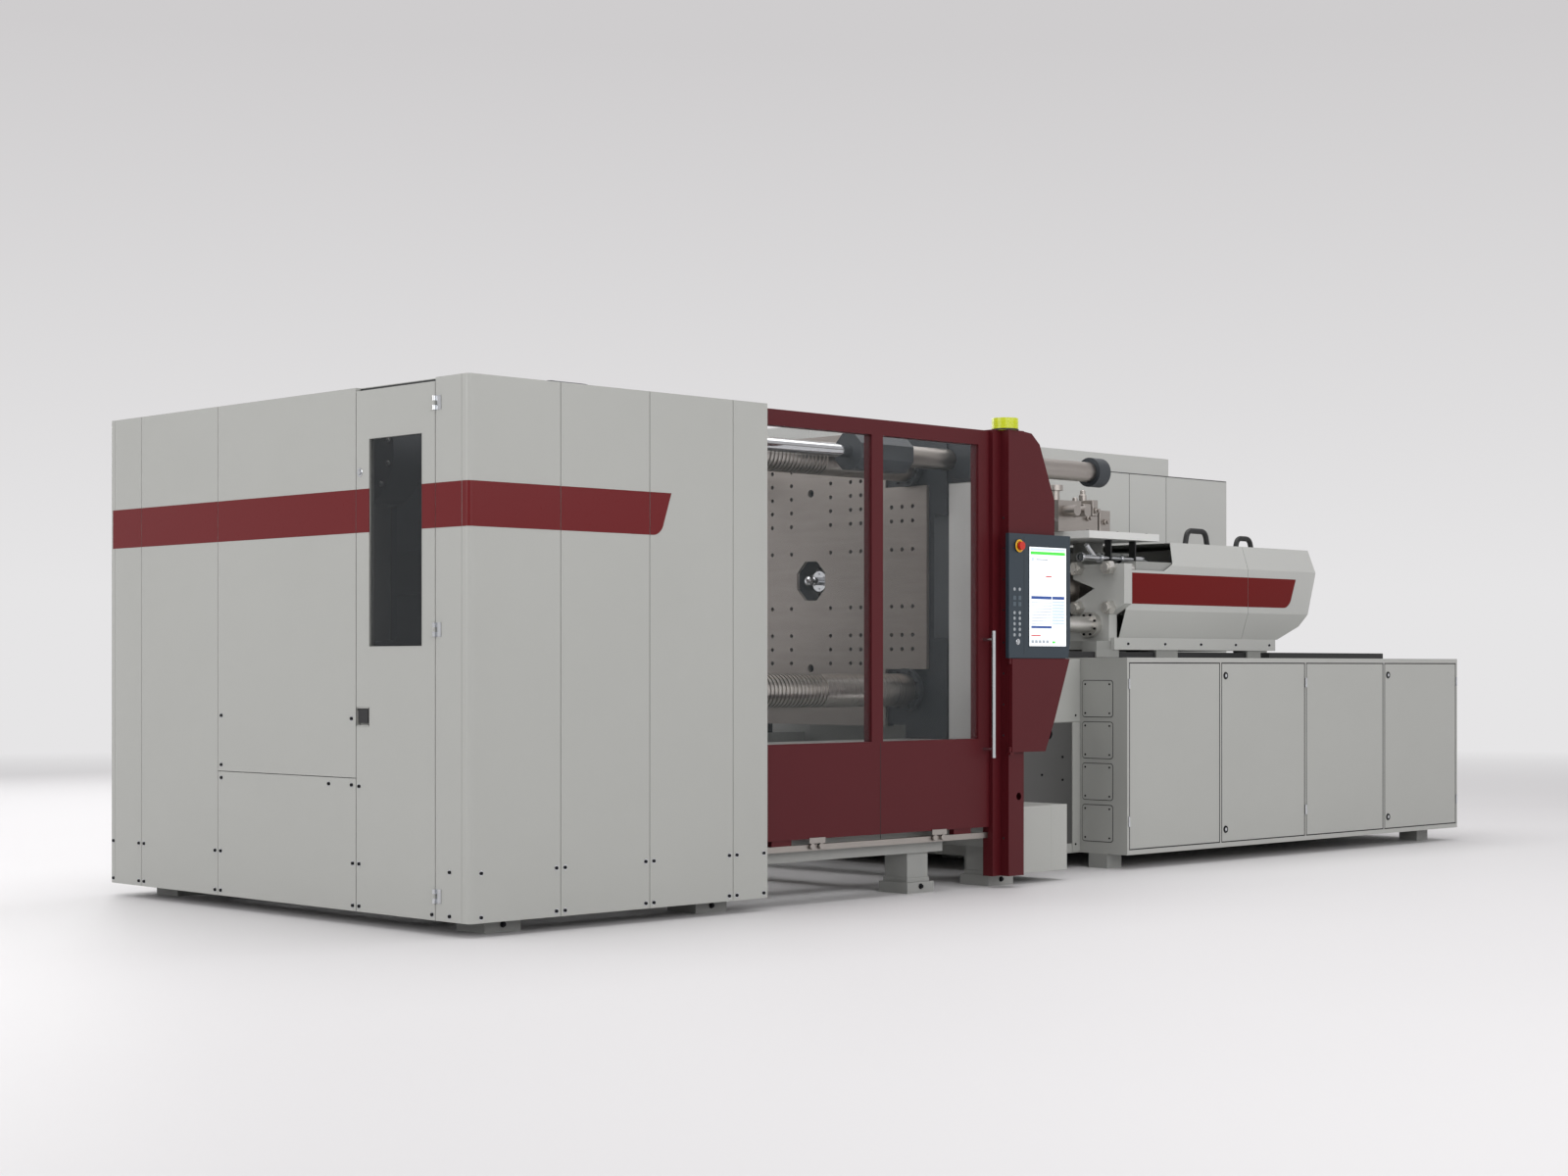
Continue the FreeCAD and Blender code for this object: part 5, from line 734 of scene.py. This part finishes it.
# %% Lamp
LAMP_LOW, LAMP_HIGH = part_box("beacon")
lamp_centre = (LAMP_LOW + LAMP_HIGH) / 2
LENS = (LAMP_HIGH.x - LAMP_LOW.x) / 2 / MM
RIB = 1.6
UP = Vector((0, 0, 1))
lens_ribs = bmesh.new()
for n in range(4):
    level = Vector((lamp_centre.x, lamp_centre.y, LAMP_LOW.z + (10 + 9 * n) * MM))
    turned(lens_ribs, level, UP, [(LENS - RIB, 0), (LENS + RIB, 1.5), (LENS + RIB, 3), (LENS - RIB, 4.5),
                                  (LENS - RIB, 0)], 48)
piece("lamp_lens_ribs", lens_ribs, LAMP_GREEN, "machine")
lamp_foot = one(turned, Vector((lamp_centre.x, lamp_centre.y, LAMP_LOW.z)), UP,
                [(LENS - 1, 0), (LENS + 3, 0), (LENS + 3, 6), (LENS - 1, 8), (LENS - 1, 0)], 48)
piece("lamp_foot_ring", lamp_foot, BLACK_ABS, "machine")

# %% Gate joint, gate rollers and the post's screws
GATE_FACE = 0.050
ROLLER = [(0, 0), (13, 0), (14, 1), (14, 11), (13, 12), (0, 12)]
POST_SCREWS = (0.238, 0.720, 0.865, 1.010, 1.155, 1.308, 1.452, 1.597, 1.740)
joint = one(brick, at(2.354, GATE_FACE - 0.6 * MM, 0.268), at(2.3565, GATE_FACE + MM, 0.700))
piece("gate_joint", joint, BLACK_ABS, "front_gate")
rollers = bmesh.new()
for along in (1.948, 2.750):
    brick(rollers, at(along - 0.050, GATE_FACE - 5 * MM, 0.268), at(along + 0.050, GATE_FACE, 0.294),
          edge=2 * MM)
    for shift in (-0.028, 0.028):
        turned(rollers, at(along + shift, GATE_FACE + 8 * MM, 0.256), NEAR_SIDE, ROLLER, 28)
piece("gate_rollers", rollers, MILLED_STEEL, "front_gate")
post_screws = bmesh.new()
for height in POST_SCREWS:
    cap_screw(post_screws, at(3.123, -0.020, height), NEAR_SIDE, radius=5, height=2)
piece("post_screws", post_screws, BLACK_OXIDE, "machine")

# %% [markdown]
# ## The mould space
#
# In the middle of the fixed platen an eight-sided opening leads to the nozzle. Behind it sits a
# bright flange with six bolts, and the nozzle's tip stands out of it. A ring of bolts holds each
# collar round a tie bar and each lock housing on the moving platen. The travel cylinders are
# honed steel tubes.

# %% Nozzle flange
AXIS_Z = 1.479
FLANGE = 92
seat = at(0, AXIS_Y, AXIS_Z)
seat.x = FIXED_FACE + 0.128
flange = one(turned, seat, CLAMP_SIDE, [(58, 0), (FLANGE, 0), (FLANGE, 14), (FLANGE - 3, 17), (64, 17),
                                        (58, 9), (58, 0)], 48)
piece("nozzle_flange", flange, GROUND_BAR, "injection_unit")
flange_bolts = bmesh.new()
for across, rise in ring_of(6, 78 * MM, 0):
    cap_screw(flange_bolts, seat + Vector((-17 * MM, across, rise)), CLAMP_SIDE, radius=9, height=9)
piece("nozzle_flange_bolts", flange_bolts, BLACK_OXIDE, "injection_unit")

# %% Bolts on the tie bar collars and the lock housings
COLLARS_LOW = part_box("tie_bar_nuts")[0]
HOUSING_END = at(0.930, 0, 0).x
BAR_RADIUS = 80 * MM
bars_low, bars_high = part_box("tie_bars")
bar_places = [(y, z) for y in (bars_low.y + BAR_RADIUS, bars_high.y - BAR_RADIUS)
              for z in (bars_low.z + BAR_RADIUS, bars_high.z - BAR_RADIUS)]
collar_bolts = bmesh.new()
housing_bolts = bmesh.new()
for y, z in bar_places:
    for across, rise in ring_of(8, 93 * MM):
        cap_screw(collar_bolts, Vector((COLLARS_LOW.x, y + across, z + rise)), CLAMP_SIDE, 7, 6, 12)
    for across, rise in ring_of(12, 205 * MM):
        cap_screw(housing_bolts, Vector((HOUSING_END, y + across, z + rise)), CLAMP_SIDE, 12, 10, 12)
piece("tie_bar_ring_bolts", collar_bolts, BLACK_OXIDE, "machine")
piece("lock_housing_bolts", housing_bolts, NICKEL, "clamp_unit")

# %% Honed tubes of the travel cylinders
TUBE = 51
TUBE_SPANS = ((2.901, 3.239), (3.431, 4.329))
TUBE_PLACES = ((0.430, 2.045), (2.240, 0.913))
tubes = bmesh.new()
for side, height in TUBE_PLACES:
    for first, last in TUBE_SPANS:
        long = (last - first) / MM
        turned(tubes, at(first, side, height), (1, 0, 0), [(TUBE - 1, 0), (TUBE, 1), (TUBE, long - 1),
                                                           (TUBE - 1, long)], 48)
piece("travel_cylinder_tubes", tubes, MILLED_STEEL, "machine")

# %% Nozzle tip
tip = one(turned, seat, CLAMP_SIDE,
          [(0, 0), (22, 0), (22, 52), (52, 52), (54, 54), (54, 66), (52, 68), (20, 68), (20, 112),
           (15, 116), (15, 122), (23, 130), (26, 140), (23, 151), (14, 159), (0, 162)], 40)
for across, rise in ring_of(6, 38 * MM):
    cap_screw(tip, seat + Vector((-68 * MM, across, rise)), CLAMP_SIDE, 5, 4, 12)
piece("nozzle_tip", tip, CHROME, "injection_unit")
print("tie bars at", [(round(y, 3), round(z, 3)) for y, z in bar_places])

# %% [markdown]
# ## The injection unit
#
# The hood has a deep red band with a slanted end, in two strips because the hood opens in two
# parts. It has black bow handles and a row of screws along its foot strip. On the front plate
# each tie rod has a bright washer, and each traverse cylinder's flange has a ring of bolts. A
# pipe with a slanted branch feeds cooling water above the barrel, and valves stand behind it.

# %% Hood bands
HOOD_SIDE = 0.850
HOOD_BAND_LOW = 1.392
HOOD_BAND_HIGH = 1.564
HOOD_SEAM = 6.350
HOOD_FRONT = 5.191
side_strip("hood_band_front", HOOD_FRONT, HOOD_SEAM - JOINT, HOOD_SEAM - JOINT,
           HOOD_SIDE, HOOD_BAND_LOW, HOOD_BAND_HIGH, HOOD_FILM, "front_lid")
side_strip("hood_band_rear", HOOD_SEAM + JOINT, 6.770, 6.841,
           HOOD_SIDE, HOOD_BAND_LOW, HOOD_BAND_HIGH, HOOD_FILM, "rear_lid", bend=55 * MM, corner=1)

# %% Hood handles
HOOD_TOP = 1.745
HANDLE_RISE = 0.079
HANDLE_BAR = 16 * MM


def bow_handle(name, first, last, side, body):
    """A bow handle that stands on the hood's top, with a round foot plate under each leg."""
    mesh = bmesh.new()
    corners = [at(first, side, HOOD_TOP), at(first + 0.02, side, HOOD_TOP + HANDLE_RISE),
               at(last - 0.02, side, HOOD_TOP + HANDLE_RISE), at(last, side, HOOD_TOP)]
    bent_bar(mesh, rounded_route(corners, 40 * MM), HANDLE_BAR, steps=16)
    for foot in (first, last):
        turned(mesh, at(foot, side, HOOD_TOP), UP, [(0, 0), (18, 0), (18, 4), (12, 9), (0, 9)])
    piece(name, mesh, BLACK_ABS, body)


bow_handle("hood_handle_front", 5.873, 6.085, 0.950, "front_lid")
bow_handle("hood_handle_rear", 6.790, 6.960, 1.250, "rear_lid")

# %% Screws of the hood's foot strip
STRIP_SIDE = 0.880
fastened("hood_strip", [(at(5.250 + 0.340 * n, STRIP_SIDE, 1.170), NEAR_SIDE) for n in range(5)],
         "injection_unit")

# %% Front plate fittings
FITTINGS_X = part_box("injection_front_plate")[0].x - 40 * MM
TIE_SPREAD = 0.110
TIE_SIDE = 0.330
TRAVERSE_SIDE = 0.310
TRAVERSE_HEIGHT = 1.275
plate_washers = bmesh.new()
plate_bolts = bmesh.new()
for side in (-1, 1):
    for pair in (-1, 1):
        for level in (-1, 1):
            centre = at(0, AXIS_Y + side * TIE_SIDE + pair * TIE_SPREAD, AXIS_Z + level * TIE_SPREAD)
            centre.x = FITTINGS_X
            turned(plate_washers, centre, CLAMP_SIDE, [(25, 0), (34, 0), (34, 5), (25, 5), (25, 0)], 32)
    for across, rise in ring_of(8, 57 * MM):
        centre = at(0, AXIS_Y + side * TRAVERSE_SIDE + across, TRAVERSE_HEIGHT + rise)
        centre.x = FITTINGS_X
        cap_screw(plate_bolts, centre, CLAMP_SIDE, 7, 8, 12)
piece("front_plate_washers", plate_washers, NICKEL, "injection_unit")
piece("front_plate_bolts", plate_bolts, BLACK_OXIDE, "injection_unit")

# %% Water pipe with its branch
PIPE_SIDE = 0.985
PIPE_HEIGHT = 1.645
pipe = bmesh.new()
bent_bar(pipe, rounded_route([at(4.960, PIPE_SIDE, PIPE_HEIGHT), at(5.560, PIPE_SIDE, PIPE_HEIGHT),
                              at(5.640, PIPE_SIDE, PIPE_HEIGHT - 0.080)], 60 * MM), 17 * MM, steps=20)
branch = [at(5.090, PIPE_SIDE, PIPE_HEIGHT), at(5.010, PIPE_SIDE, PIPE_HEIGHT + 0.070)]
bent_bar(pipe, branch, 14 * MM, steps=20)
for along in (4.955, 5.120, 5.300):
    turned(pipe, at(along, PIPE_SIDE, PIPE_HEIGHT), (1, 0, 0),
           [(17, 0), (26, 0), (27, 3), (27, 17), (26, 20), (17, 20)], 32)
piece("water_pipe", pipe, CHROME, "injection_unit")
pipe_clips = bmesh.new()
for along in (5.200, 5.420):
    brick(pipe_clips, at(along, PIPE_SIDE - 0.022, PIPE_HEIGHT - 0.010),
          at(along + 0.012, PIPE_SIDE + 0.022, PIPE_HEIGHT + 0.104), edge=2 * MM)
piece("water_pipe_clips", pipe_clips, BLACK_ABS, "injection_unit")

# %% Deck edge and valve fittings
DECK_LOW, DECK_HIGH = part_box("hopper_deck")
VALVE_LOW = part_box("valve_block")[0]
deck_screws = bmesh.new()
for along in (0.08, 0.5, 0.92):
    for across in (0.06, 0.94):
        centre = Vector((DECK_LOW.x + (DECK_HIGH.x - DECK_LOW.x) * along,
                         DECK_LOW.y + (DECK_HIGH.y - DECK_LOW.y) * across, DECK_HIGH.z))
        cap_screw(deck_screws, centre, UP, radius=8, height=6)
piece("deck_screws", deck_screws, BLACK_OXIDE, "injection_unit")
THROAT = at(5.470, AXIS_Y, DECK_HIGH.z)
throat_ring = one(turned, THROAT, UP, hoop(61, 92, 12, 2, 3), 48)
for along, across in ring_of(4, 77 * MM):
    cap_screw(throat_ring, THROAT + Vector((along, across, 12 * MM)), UP, radius=6, height=5)
piece("throat_ring", throat_ring, GROUND_BAR, "injection_unit")
valve_fittings = bmesh.new()
for n in range(3):
    place = Vector((VALVE_LOW.x, VALVE_LOW.y + 0.13 + 0.055 * n, VALVE_LOW.z + 0.060))
    turned(valve_fittings, place, CLAMP_SIDE, [(0, 0), (15, 0), (15, 10), (10, 12), (10, 26), (0, 26)], 24)
    hexagon(valve_fittings, place + CLAMP_SIDE * 10 * MM, CLAMP_SIDE, 26, 9)
piece("valve_fittings", valve_fittings, CHROME, "injection_unit")
print("hood handles, pipe, nuts and fittings ride on the injection unit and its lids")

# %% Blocks of the valve stack
STACK_NEAR = 1.090
STACK_FAR = 1.270
STACK = ((5.095, 5.250, 1.788, 1.885), (5.262, 5.360, 1.788, 1.920), (5.120, 5.190, 1.885, 1.950),
         (5.200, 5.250, 1.885, 1.975))
stack = bmesh.new()
for first, last, low, high in STACK:
    brick(stack, at(first, STACK_NEAR, low), at(last, STACK_FAR, high), edge=4 * MM)
for along, high in ((5.155, 1.990), (5.225, 2.035), (5.310, 1.975)):
    turned(stack, at(along, 1.180, high - 0.070), UP,
           [(0, 0), (22, 0), (22, 40), (15, 46), (15, 66), (9, 70), (0, 70)], 28)
    turned(stack, at(along, STACK_NEAR, high - 0.120), NEAR_SIDE,
           [(0, -1), (16, -1), (16, 12), (11, 14), (11, 30), (0, 32)], 28)
piece("valve_stack", stack, MILLED_STEEL, "injection_unit")

# %% Heater sleeve and collar of the barrel
sleeve = one(turned, at(5.060, AXIS_Y, AXIS_Z), (1, 0, 0),
             [(90, 0), (119, 0), (120, 1), (120, 47), (90, 48), (90, 0)], 64)
piece("barrel_heater_sleeve", sleeve, DARK_CHROME, "injection_unit")
collar = one(turned, at(5.186, AXIS_Y, AXIS_Z), (1, 0, 0),
             [(88, 0), (165, 0), (165, 108), (88, 108), (88, 0)], 64)
piece("barrel_collar", collar, DARK_CHROME, "injection_unit")

# %% [markdown]
# ## Injection base, cabinet and feet
#
# The base's end face has a column of four inspection covers, each a thin plate with rounded
# corners and four screws. The doors have black edges where their seals show. The cabinet has
# dark joints between its panels, louvred vents and swing handles at the rear, and every foot has
# a levelling screw.

# %% Inspection covers
BASE_END = 4.420
COVER_NEAR = 0.344
COVER_FAR = 0.538
COVER_TALL = 0.186
COVER_PITCH = 0.215
GASKET = 3.5 * MM
SCREW_INSET = 0.018
covers = bmesh.new()
gaskets = bmesh.new()
cover_screws = bmesh.new()
for n in range(4):
    low = 0.139 + COVER_PITCH * n
    high = low + COVER_TALL
    outline = end_outline(BASE_END, COVER_NEAR, COVER_FAR, low, high)
    plate(covers, outline, CLAMP_SIDE * 3 * MM, bend=14 * MM)
    outline = end_outline(BASE_END, COVER_NEAR - GASKET, COVER_FAR + GASKET, low - GASKET, high + GASKET)
    plate(gaskets, outline, CLAMP_SIDE * MM, bend=16 * MM)
    for across in (COVER_NEAR + SCREW_INSET, COVER_FAR - SCREW_INSET):
        for height in (low + SCREW_INSET, high - SCREW_INSET):
            cap_screw(cover_screws, at(BASE_END - 3 * MM, across, height), CLAMP_SIDE, radius=5, height=2.5)
piece("inspection_covers", covers, GREY_COAT, "machine")
piece("inspection_cover_gaskets", gaskets, RUBBER, "machine")
piece("inspection_cover_screws", cover_screws, BLACK_OXIDE, "machine")

# %% Skirting of the base's narrow end, with a sheet of painted shade
SKIRT_SIDE = 0.560
# The dark grey sheet is painted shade. It stands in for the shade of a recess low on the guard at the
# base's narrow end.
painted_shade_skirt = one(brick, at(3.812, SKIRT_SIDE - 3 * MM, 0.125), at(4.352, SKIRT_SIDE, 0.753))
piece("base_skirt_painted_shade", painted_shade_skirt, PAINTED_SHADE_COAT, "machine")
apron = one(brick, at(3.808, SKIRT_SIDE - 5 * MM, 0.757), at(4.418, SKIRT_SIDE, 1.083), edge=MM)
brick(apron, at(4.356, SKIRT_SIDE - 5 * MM, 0.080), at(4.418, SKIRT_SIDE, 0.755), edge=MM)
piece("base_apron", apron, GREY_COAT, "machine")
skirt_screws = bmesh.new()
for along, height in ((4.274, 0.576), (4.274, 0.458), (4.107, 0.488), (4.380, 0.790), (4.380, 0.120)):
    cap_screw(skirt_screws, at(along, SKIRT_SIDE - 4 * MM, height), NEAR_SIDE, radius=6, height=4)
turned(skirt_screws, at(4.162, SKIRT_SIDE - 3 * MM, 0.697), NEAR_SIDE,
       [(0, 0), (27, 0), (27, 3), (22, 5), (20, 1), (0, 1)], 36)
piece("base_skirt_screws", skirt_screws, BLACK_OXIDE, "machine")

# %% Door seals, hinges and lock plates
SEAL = 5 * MM
DOOR_GAP = MM
SEAL_REACH = DOOR_GAP + SEAL
seals = bmesh.new()
hinges = bmesh.new()
for n in range(1, 5):
    low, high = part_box("base_door_%d" % n)
    left, right = low.x - SEAL_REACH, high.x + SEAL_REACH
    foot, head = low.z - SEAL_REACH, high.z + SEAL_REACH
    for x in (left, right - SEAL):
        brick(seals, Vector((x, low.y - 0.6 * MM, foot)), Vector((x + SEAL, low.y + 3 * MM, head)))
    for z in (foot, head - SEAL):
        brick(seals, Vector((left, low.y - 0.6 * MM, z)), Vector((right, low.y + 3 * MM, z + SEAL)))
    edge = low.x - 10 * MM if n % 2 else high.x + 10 * MM
    for height in (low.z + 0.115, high.z - 0.130):
        turned(hinges, Vector((edge, low.y - 3 * MM, height)), UP, [(0, 0), (6, 0), (6, 52), (0, 52)], 20)
piece("base_door_seals", seals, RUBBER, "machine")
piece("base_door_hinges", hinges, CHROME, "machine")
for door in (2, 4):
    mesh = bmesh.new()
    for n in (door - 1, door):
        low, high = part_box("quarter_turn_lock_%d" % n)
        face = Vector(((low.x + high.x) / 2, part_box("base_door_%d" % door)[0].y, (low.z + high.z) / 2))
        turned(mesh, face, NEAR_SIDE, [(10, 0), (20, 0), (19, 3), (11, 3), (10, 0)], 36)
    piece("base_lock_plates_%d" % door, mesh, BLACK_OXIDE, "base_door_%d" % door)

# %% Drip box, a pale sheet of painted light on the guard, and tray of the cable chain
drip_box = one(brick, at(3.6205, 0.100, 0.050), at(3.745, 0.430, 0.370), edge=2 * MM)
piece("drip_box_end", drip_box, GREY_COAT, "machine")
# The pale sheet on the guard plate beside the fixed platen is painted light. It is lighter than the guard's
# own grey paint, to stand in for the light that falls into the mould space.
painted_light_lining = one(brick, at(3.2385, 0.094, 0.694), at(3.240, 0.421, 1.926))
piece("guard_lining_painted_light", painted_light_lining, PEARL_COAT, "machine")
tray = one(brick, at(6.200, 0.600, 1.090), at(7.400, 0.660, 1.124), edge=2 * MM)
piece("cable_chain_tray", tray, BLACK_ABS, "machine")

# %% Cabinet joints, vents and handles
CABINET_FACE = 1.930
SUNK = CABINET_FACE - 0.6 * MM
joints = bmesh.new()
for along in (4.900, 5.760, 6.630, 7.010):
    brick(joints, at(along - JOINT, SUNK, 0.105), at(along + JOINT, CABINET_FACE + MM, 2.245))
piece("cabinet_joints", joints, BLACK_ABS, "machine")
joint = one(brick, at(3.830, SUNK, 2.244), at(7.655, CABINET_FACE + MM, 2.249))
piece("cabinet_head_joint", joint, BLACK_ABS, "machine")


def louvres(name, door, body):
    """A vent of angled slats near the head of a cabinet door."""
    low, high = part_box(door)
    middle = (low.x + high.x) / 2
    mesh = bmesh.new()
    for n in range(9):
        foot = high.z - 0.420 + 0.022 * n
        outline = [Vector((middle - 0.120, high.y, foot)), Vector((middle - 0.120, high.y + 9 * MM, foot)),
                   Vector((middle - 0.120, high.y, foot + 14 * MM))]
        plate(mesh, outline, Vector((0.240, 0, 0)))
    piece(name, mesh, LIGHT_COAT, body)


def swing_handle(name, door, share, body):
    """A black swing handle with its base plate, at the opening edge of a cabinet door."""
    low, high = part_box(door)
    across = low.x + (high.x - low.x) * share
    mesh = bmesh.new()
    brick(mesh, Vector((across - 0.017, high.y - MM, 1.020)),
          Vector((across + 0.017, high.y + 7 * MM, 1.190)), edge=3 * MM)
    brick(mesh, Vector((across - 0.011, high.y + 7 * MM, 1.040)),
          Vector((across + 0.011, high.y + 19 * MM, 1.165)), edge=4 * MM)
    piece(name, mesh, BLACK_ABS, body)


for n, share in ((1, 0.95), (2, 0.05)):
    louvres("cabinet_vent_%d" % n, "electrical_door_%d" % n, "cabinet_door_%d" % n)
    swing_handle("cabinet_handle_%d" % n, "electrical_door_%d" % n, share, "cabinet_door_%d" % n)

# %% Levelling screws
FOOT_XS = (0.170, 1.290, 2.610, 3.180)
FOOT_SIDE = 0.180
FOOT_INSET = 0.120
HOUSING_WIDTH = 2.670
level_screws = bmesh.new()
for along in FOOT_XS:
    for side, out in ((FOOT_INSET, -1), (HOUSING_WIDTH - FOOT_INSET, 1)):
        place = at(along + FOOT_SIDE / 2, side, 0.030)
        turned(level_screws, place, (0, out, 0), [(0, 0), (13, 0), (13, 3), (10, 5), (0, 5)], 20)
        hexagon(level_screws, place + Vector((0, out * 5 * MM, 0)), (0, out, 0), 16, 7)
piece("levelling_screws", level_screws, BLACK_OXIDE, "machine")
print("there are four inspection covers, each", round(COVER_FAR - COVER_NEAR, 3), "m wide")

# %% [markdown]
# ## Floor, light and camera
#
# The machine stands on a pale floor that runs far behind it. Away from the machine the floor fades
# into the tone that the world has near the horizon, so no horizon shows. Five large soft lamps
# stand for a studio's light boxes: the overhead one gives the soft shadow under the machine, the
# others shape the two long sides. The camera stands low, off the corner of the clamp housing, and
# looks level, so that all uprights stay upright; the picture is shifted up a little instead of
# tilting the camera.

# %% Floor
floor_mesh = bmesh.new()
bmesh.ops.create_circle(floor_mesh, cap_ends=True, segments=96, radius=60.0)
floor_data = bpy.data.meshes.new("studio_floor")
floor_mesh.to_mesh(floor_data)
floor_mesh.free()
floor = bpy.data.objects.new("studio_floor", floor_data)
bpy.context.scene.collection.objects.link(floor)
HAZE = "#e6e5e6"
ROOM = 1.0
floor_material, floor_tree, floor_where = start("studio_floor_pale")
floor_paint = add(floor_tree, "ShaderNodeBsdfPrincipled", {
    "Base Color": between(floor_tree, noise(floor_tree, floor_where, 0.2), "#d2d1d2", "#d8d7d8"),
    "Roughness": 0.6})
floor_glow = add(floor_tree, "ShaderNodeEmission", {"Color": linear(HAZE), "Strength": ROOM})
floor_far = add(floor_tree, "ShaderNodeVectorMath", {0: floor_where}, operation="LENGTH")
floor_fade = add(floor_tree, "ShaderNodeMapRange", {"Value": floor_far.outputs["Value"], "From Min": 7.0,
                                                    "From Max": 20.0})
end(floor_tree, add(floor_tree, "ShaderNodeMixShader", {0: floor_fade.outputs[0], 1: floor_paint.outputs[0],
                                                        2: floor_glow.outputs[0]}))
floor_data.materials.append(floor_material)

# %% World
world = bpy.data.worlds.new("studio")
bpy.context.scene.world = world
world.use_nodes = True
sky = world.node_tree
sky_where = add(sky, "ShaderNodeTexCoord", {}).outputs["Generated"]
sky_height = add(sky, "ShaderNodeSeparateXYZ", {0: sky_where})
sky_share = add(sky, "ShaderNodeMapRange", {"Value": sky_height.outputs[2], "From Min": 0.03,
                                            "From Max": 0.24})
background = sky.nodes["Background"]
sky.links.new(between(sky, sky_share.outputs[0], HAZE, "#cfcdce"), background.inputs["Color"])
background.inputs["Strength"].default_value = ROOM


# %% Lamps
def light_box(name, place, target, width, height, power):
    """A large soft rectangle of light that faces its target."""
    lamp = bpy.data.lights.new(name, "AREA")
    lamp.shape = "RECTANGLE"
    lamp.size = width
    lamp.size_y = height
    lamp.energy = power
    holder = bpy.data.objects.new(name, lamp)
    holder.location = place
    holder.rotation_euler = (Vector(target) - Vector(place)).to_track_quat("-Z", "Y").to_euler()
    bpy.context.scene.collection.objects.link(holder)


light_box("overhead_box", (0.0, 0.0, 9.0), (0.0, 0.0, 0.0), 12.0, 7.0, 560)
light_box("operator_side_box", (1.0, -11.0, 4.5), (0.5, 0.0, 1.0), 9.0, 4.0, 230)
light_box("corner_box", (-5.0, -9.0, 3.2), (0.8, 0.0, 1.1), 5.0, 3.0, 110)
light_box("clamp_end_box", (-12.0, 1.0, 4.0), (-3.0, 0.0, 1.0), 6.0, 4.0, 280)
light_box("rear_box", (0.0, 12.0, 5.0), (0.0, 0.0, 1.0), 9.0, 4.0, 400)

# %% Camera
camera_data = bpy.data.cameras.new("camera")
camera_data.sensor_width = 36.0
camera_data.lens = 57.7
camera_data.shift_y = 0.0509
camera_data.clip_end = 200.0
camera = bpy.data.objects.new("camera", camera_data)
camera.location = at(-5.90, -7.67, 1.037)
camera.rotation_euler = (math.radians(90), 0.0, math.radians(-44.72))
bpy.context.scene.collection.objects.link(camera)
bpy.context.scene.camera = camera
bpy.context.scene.view_settings.view_transform = "Standard"
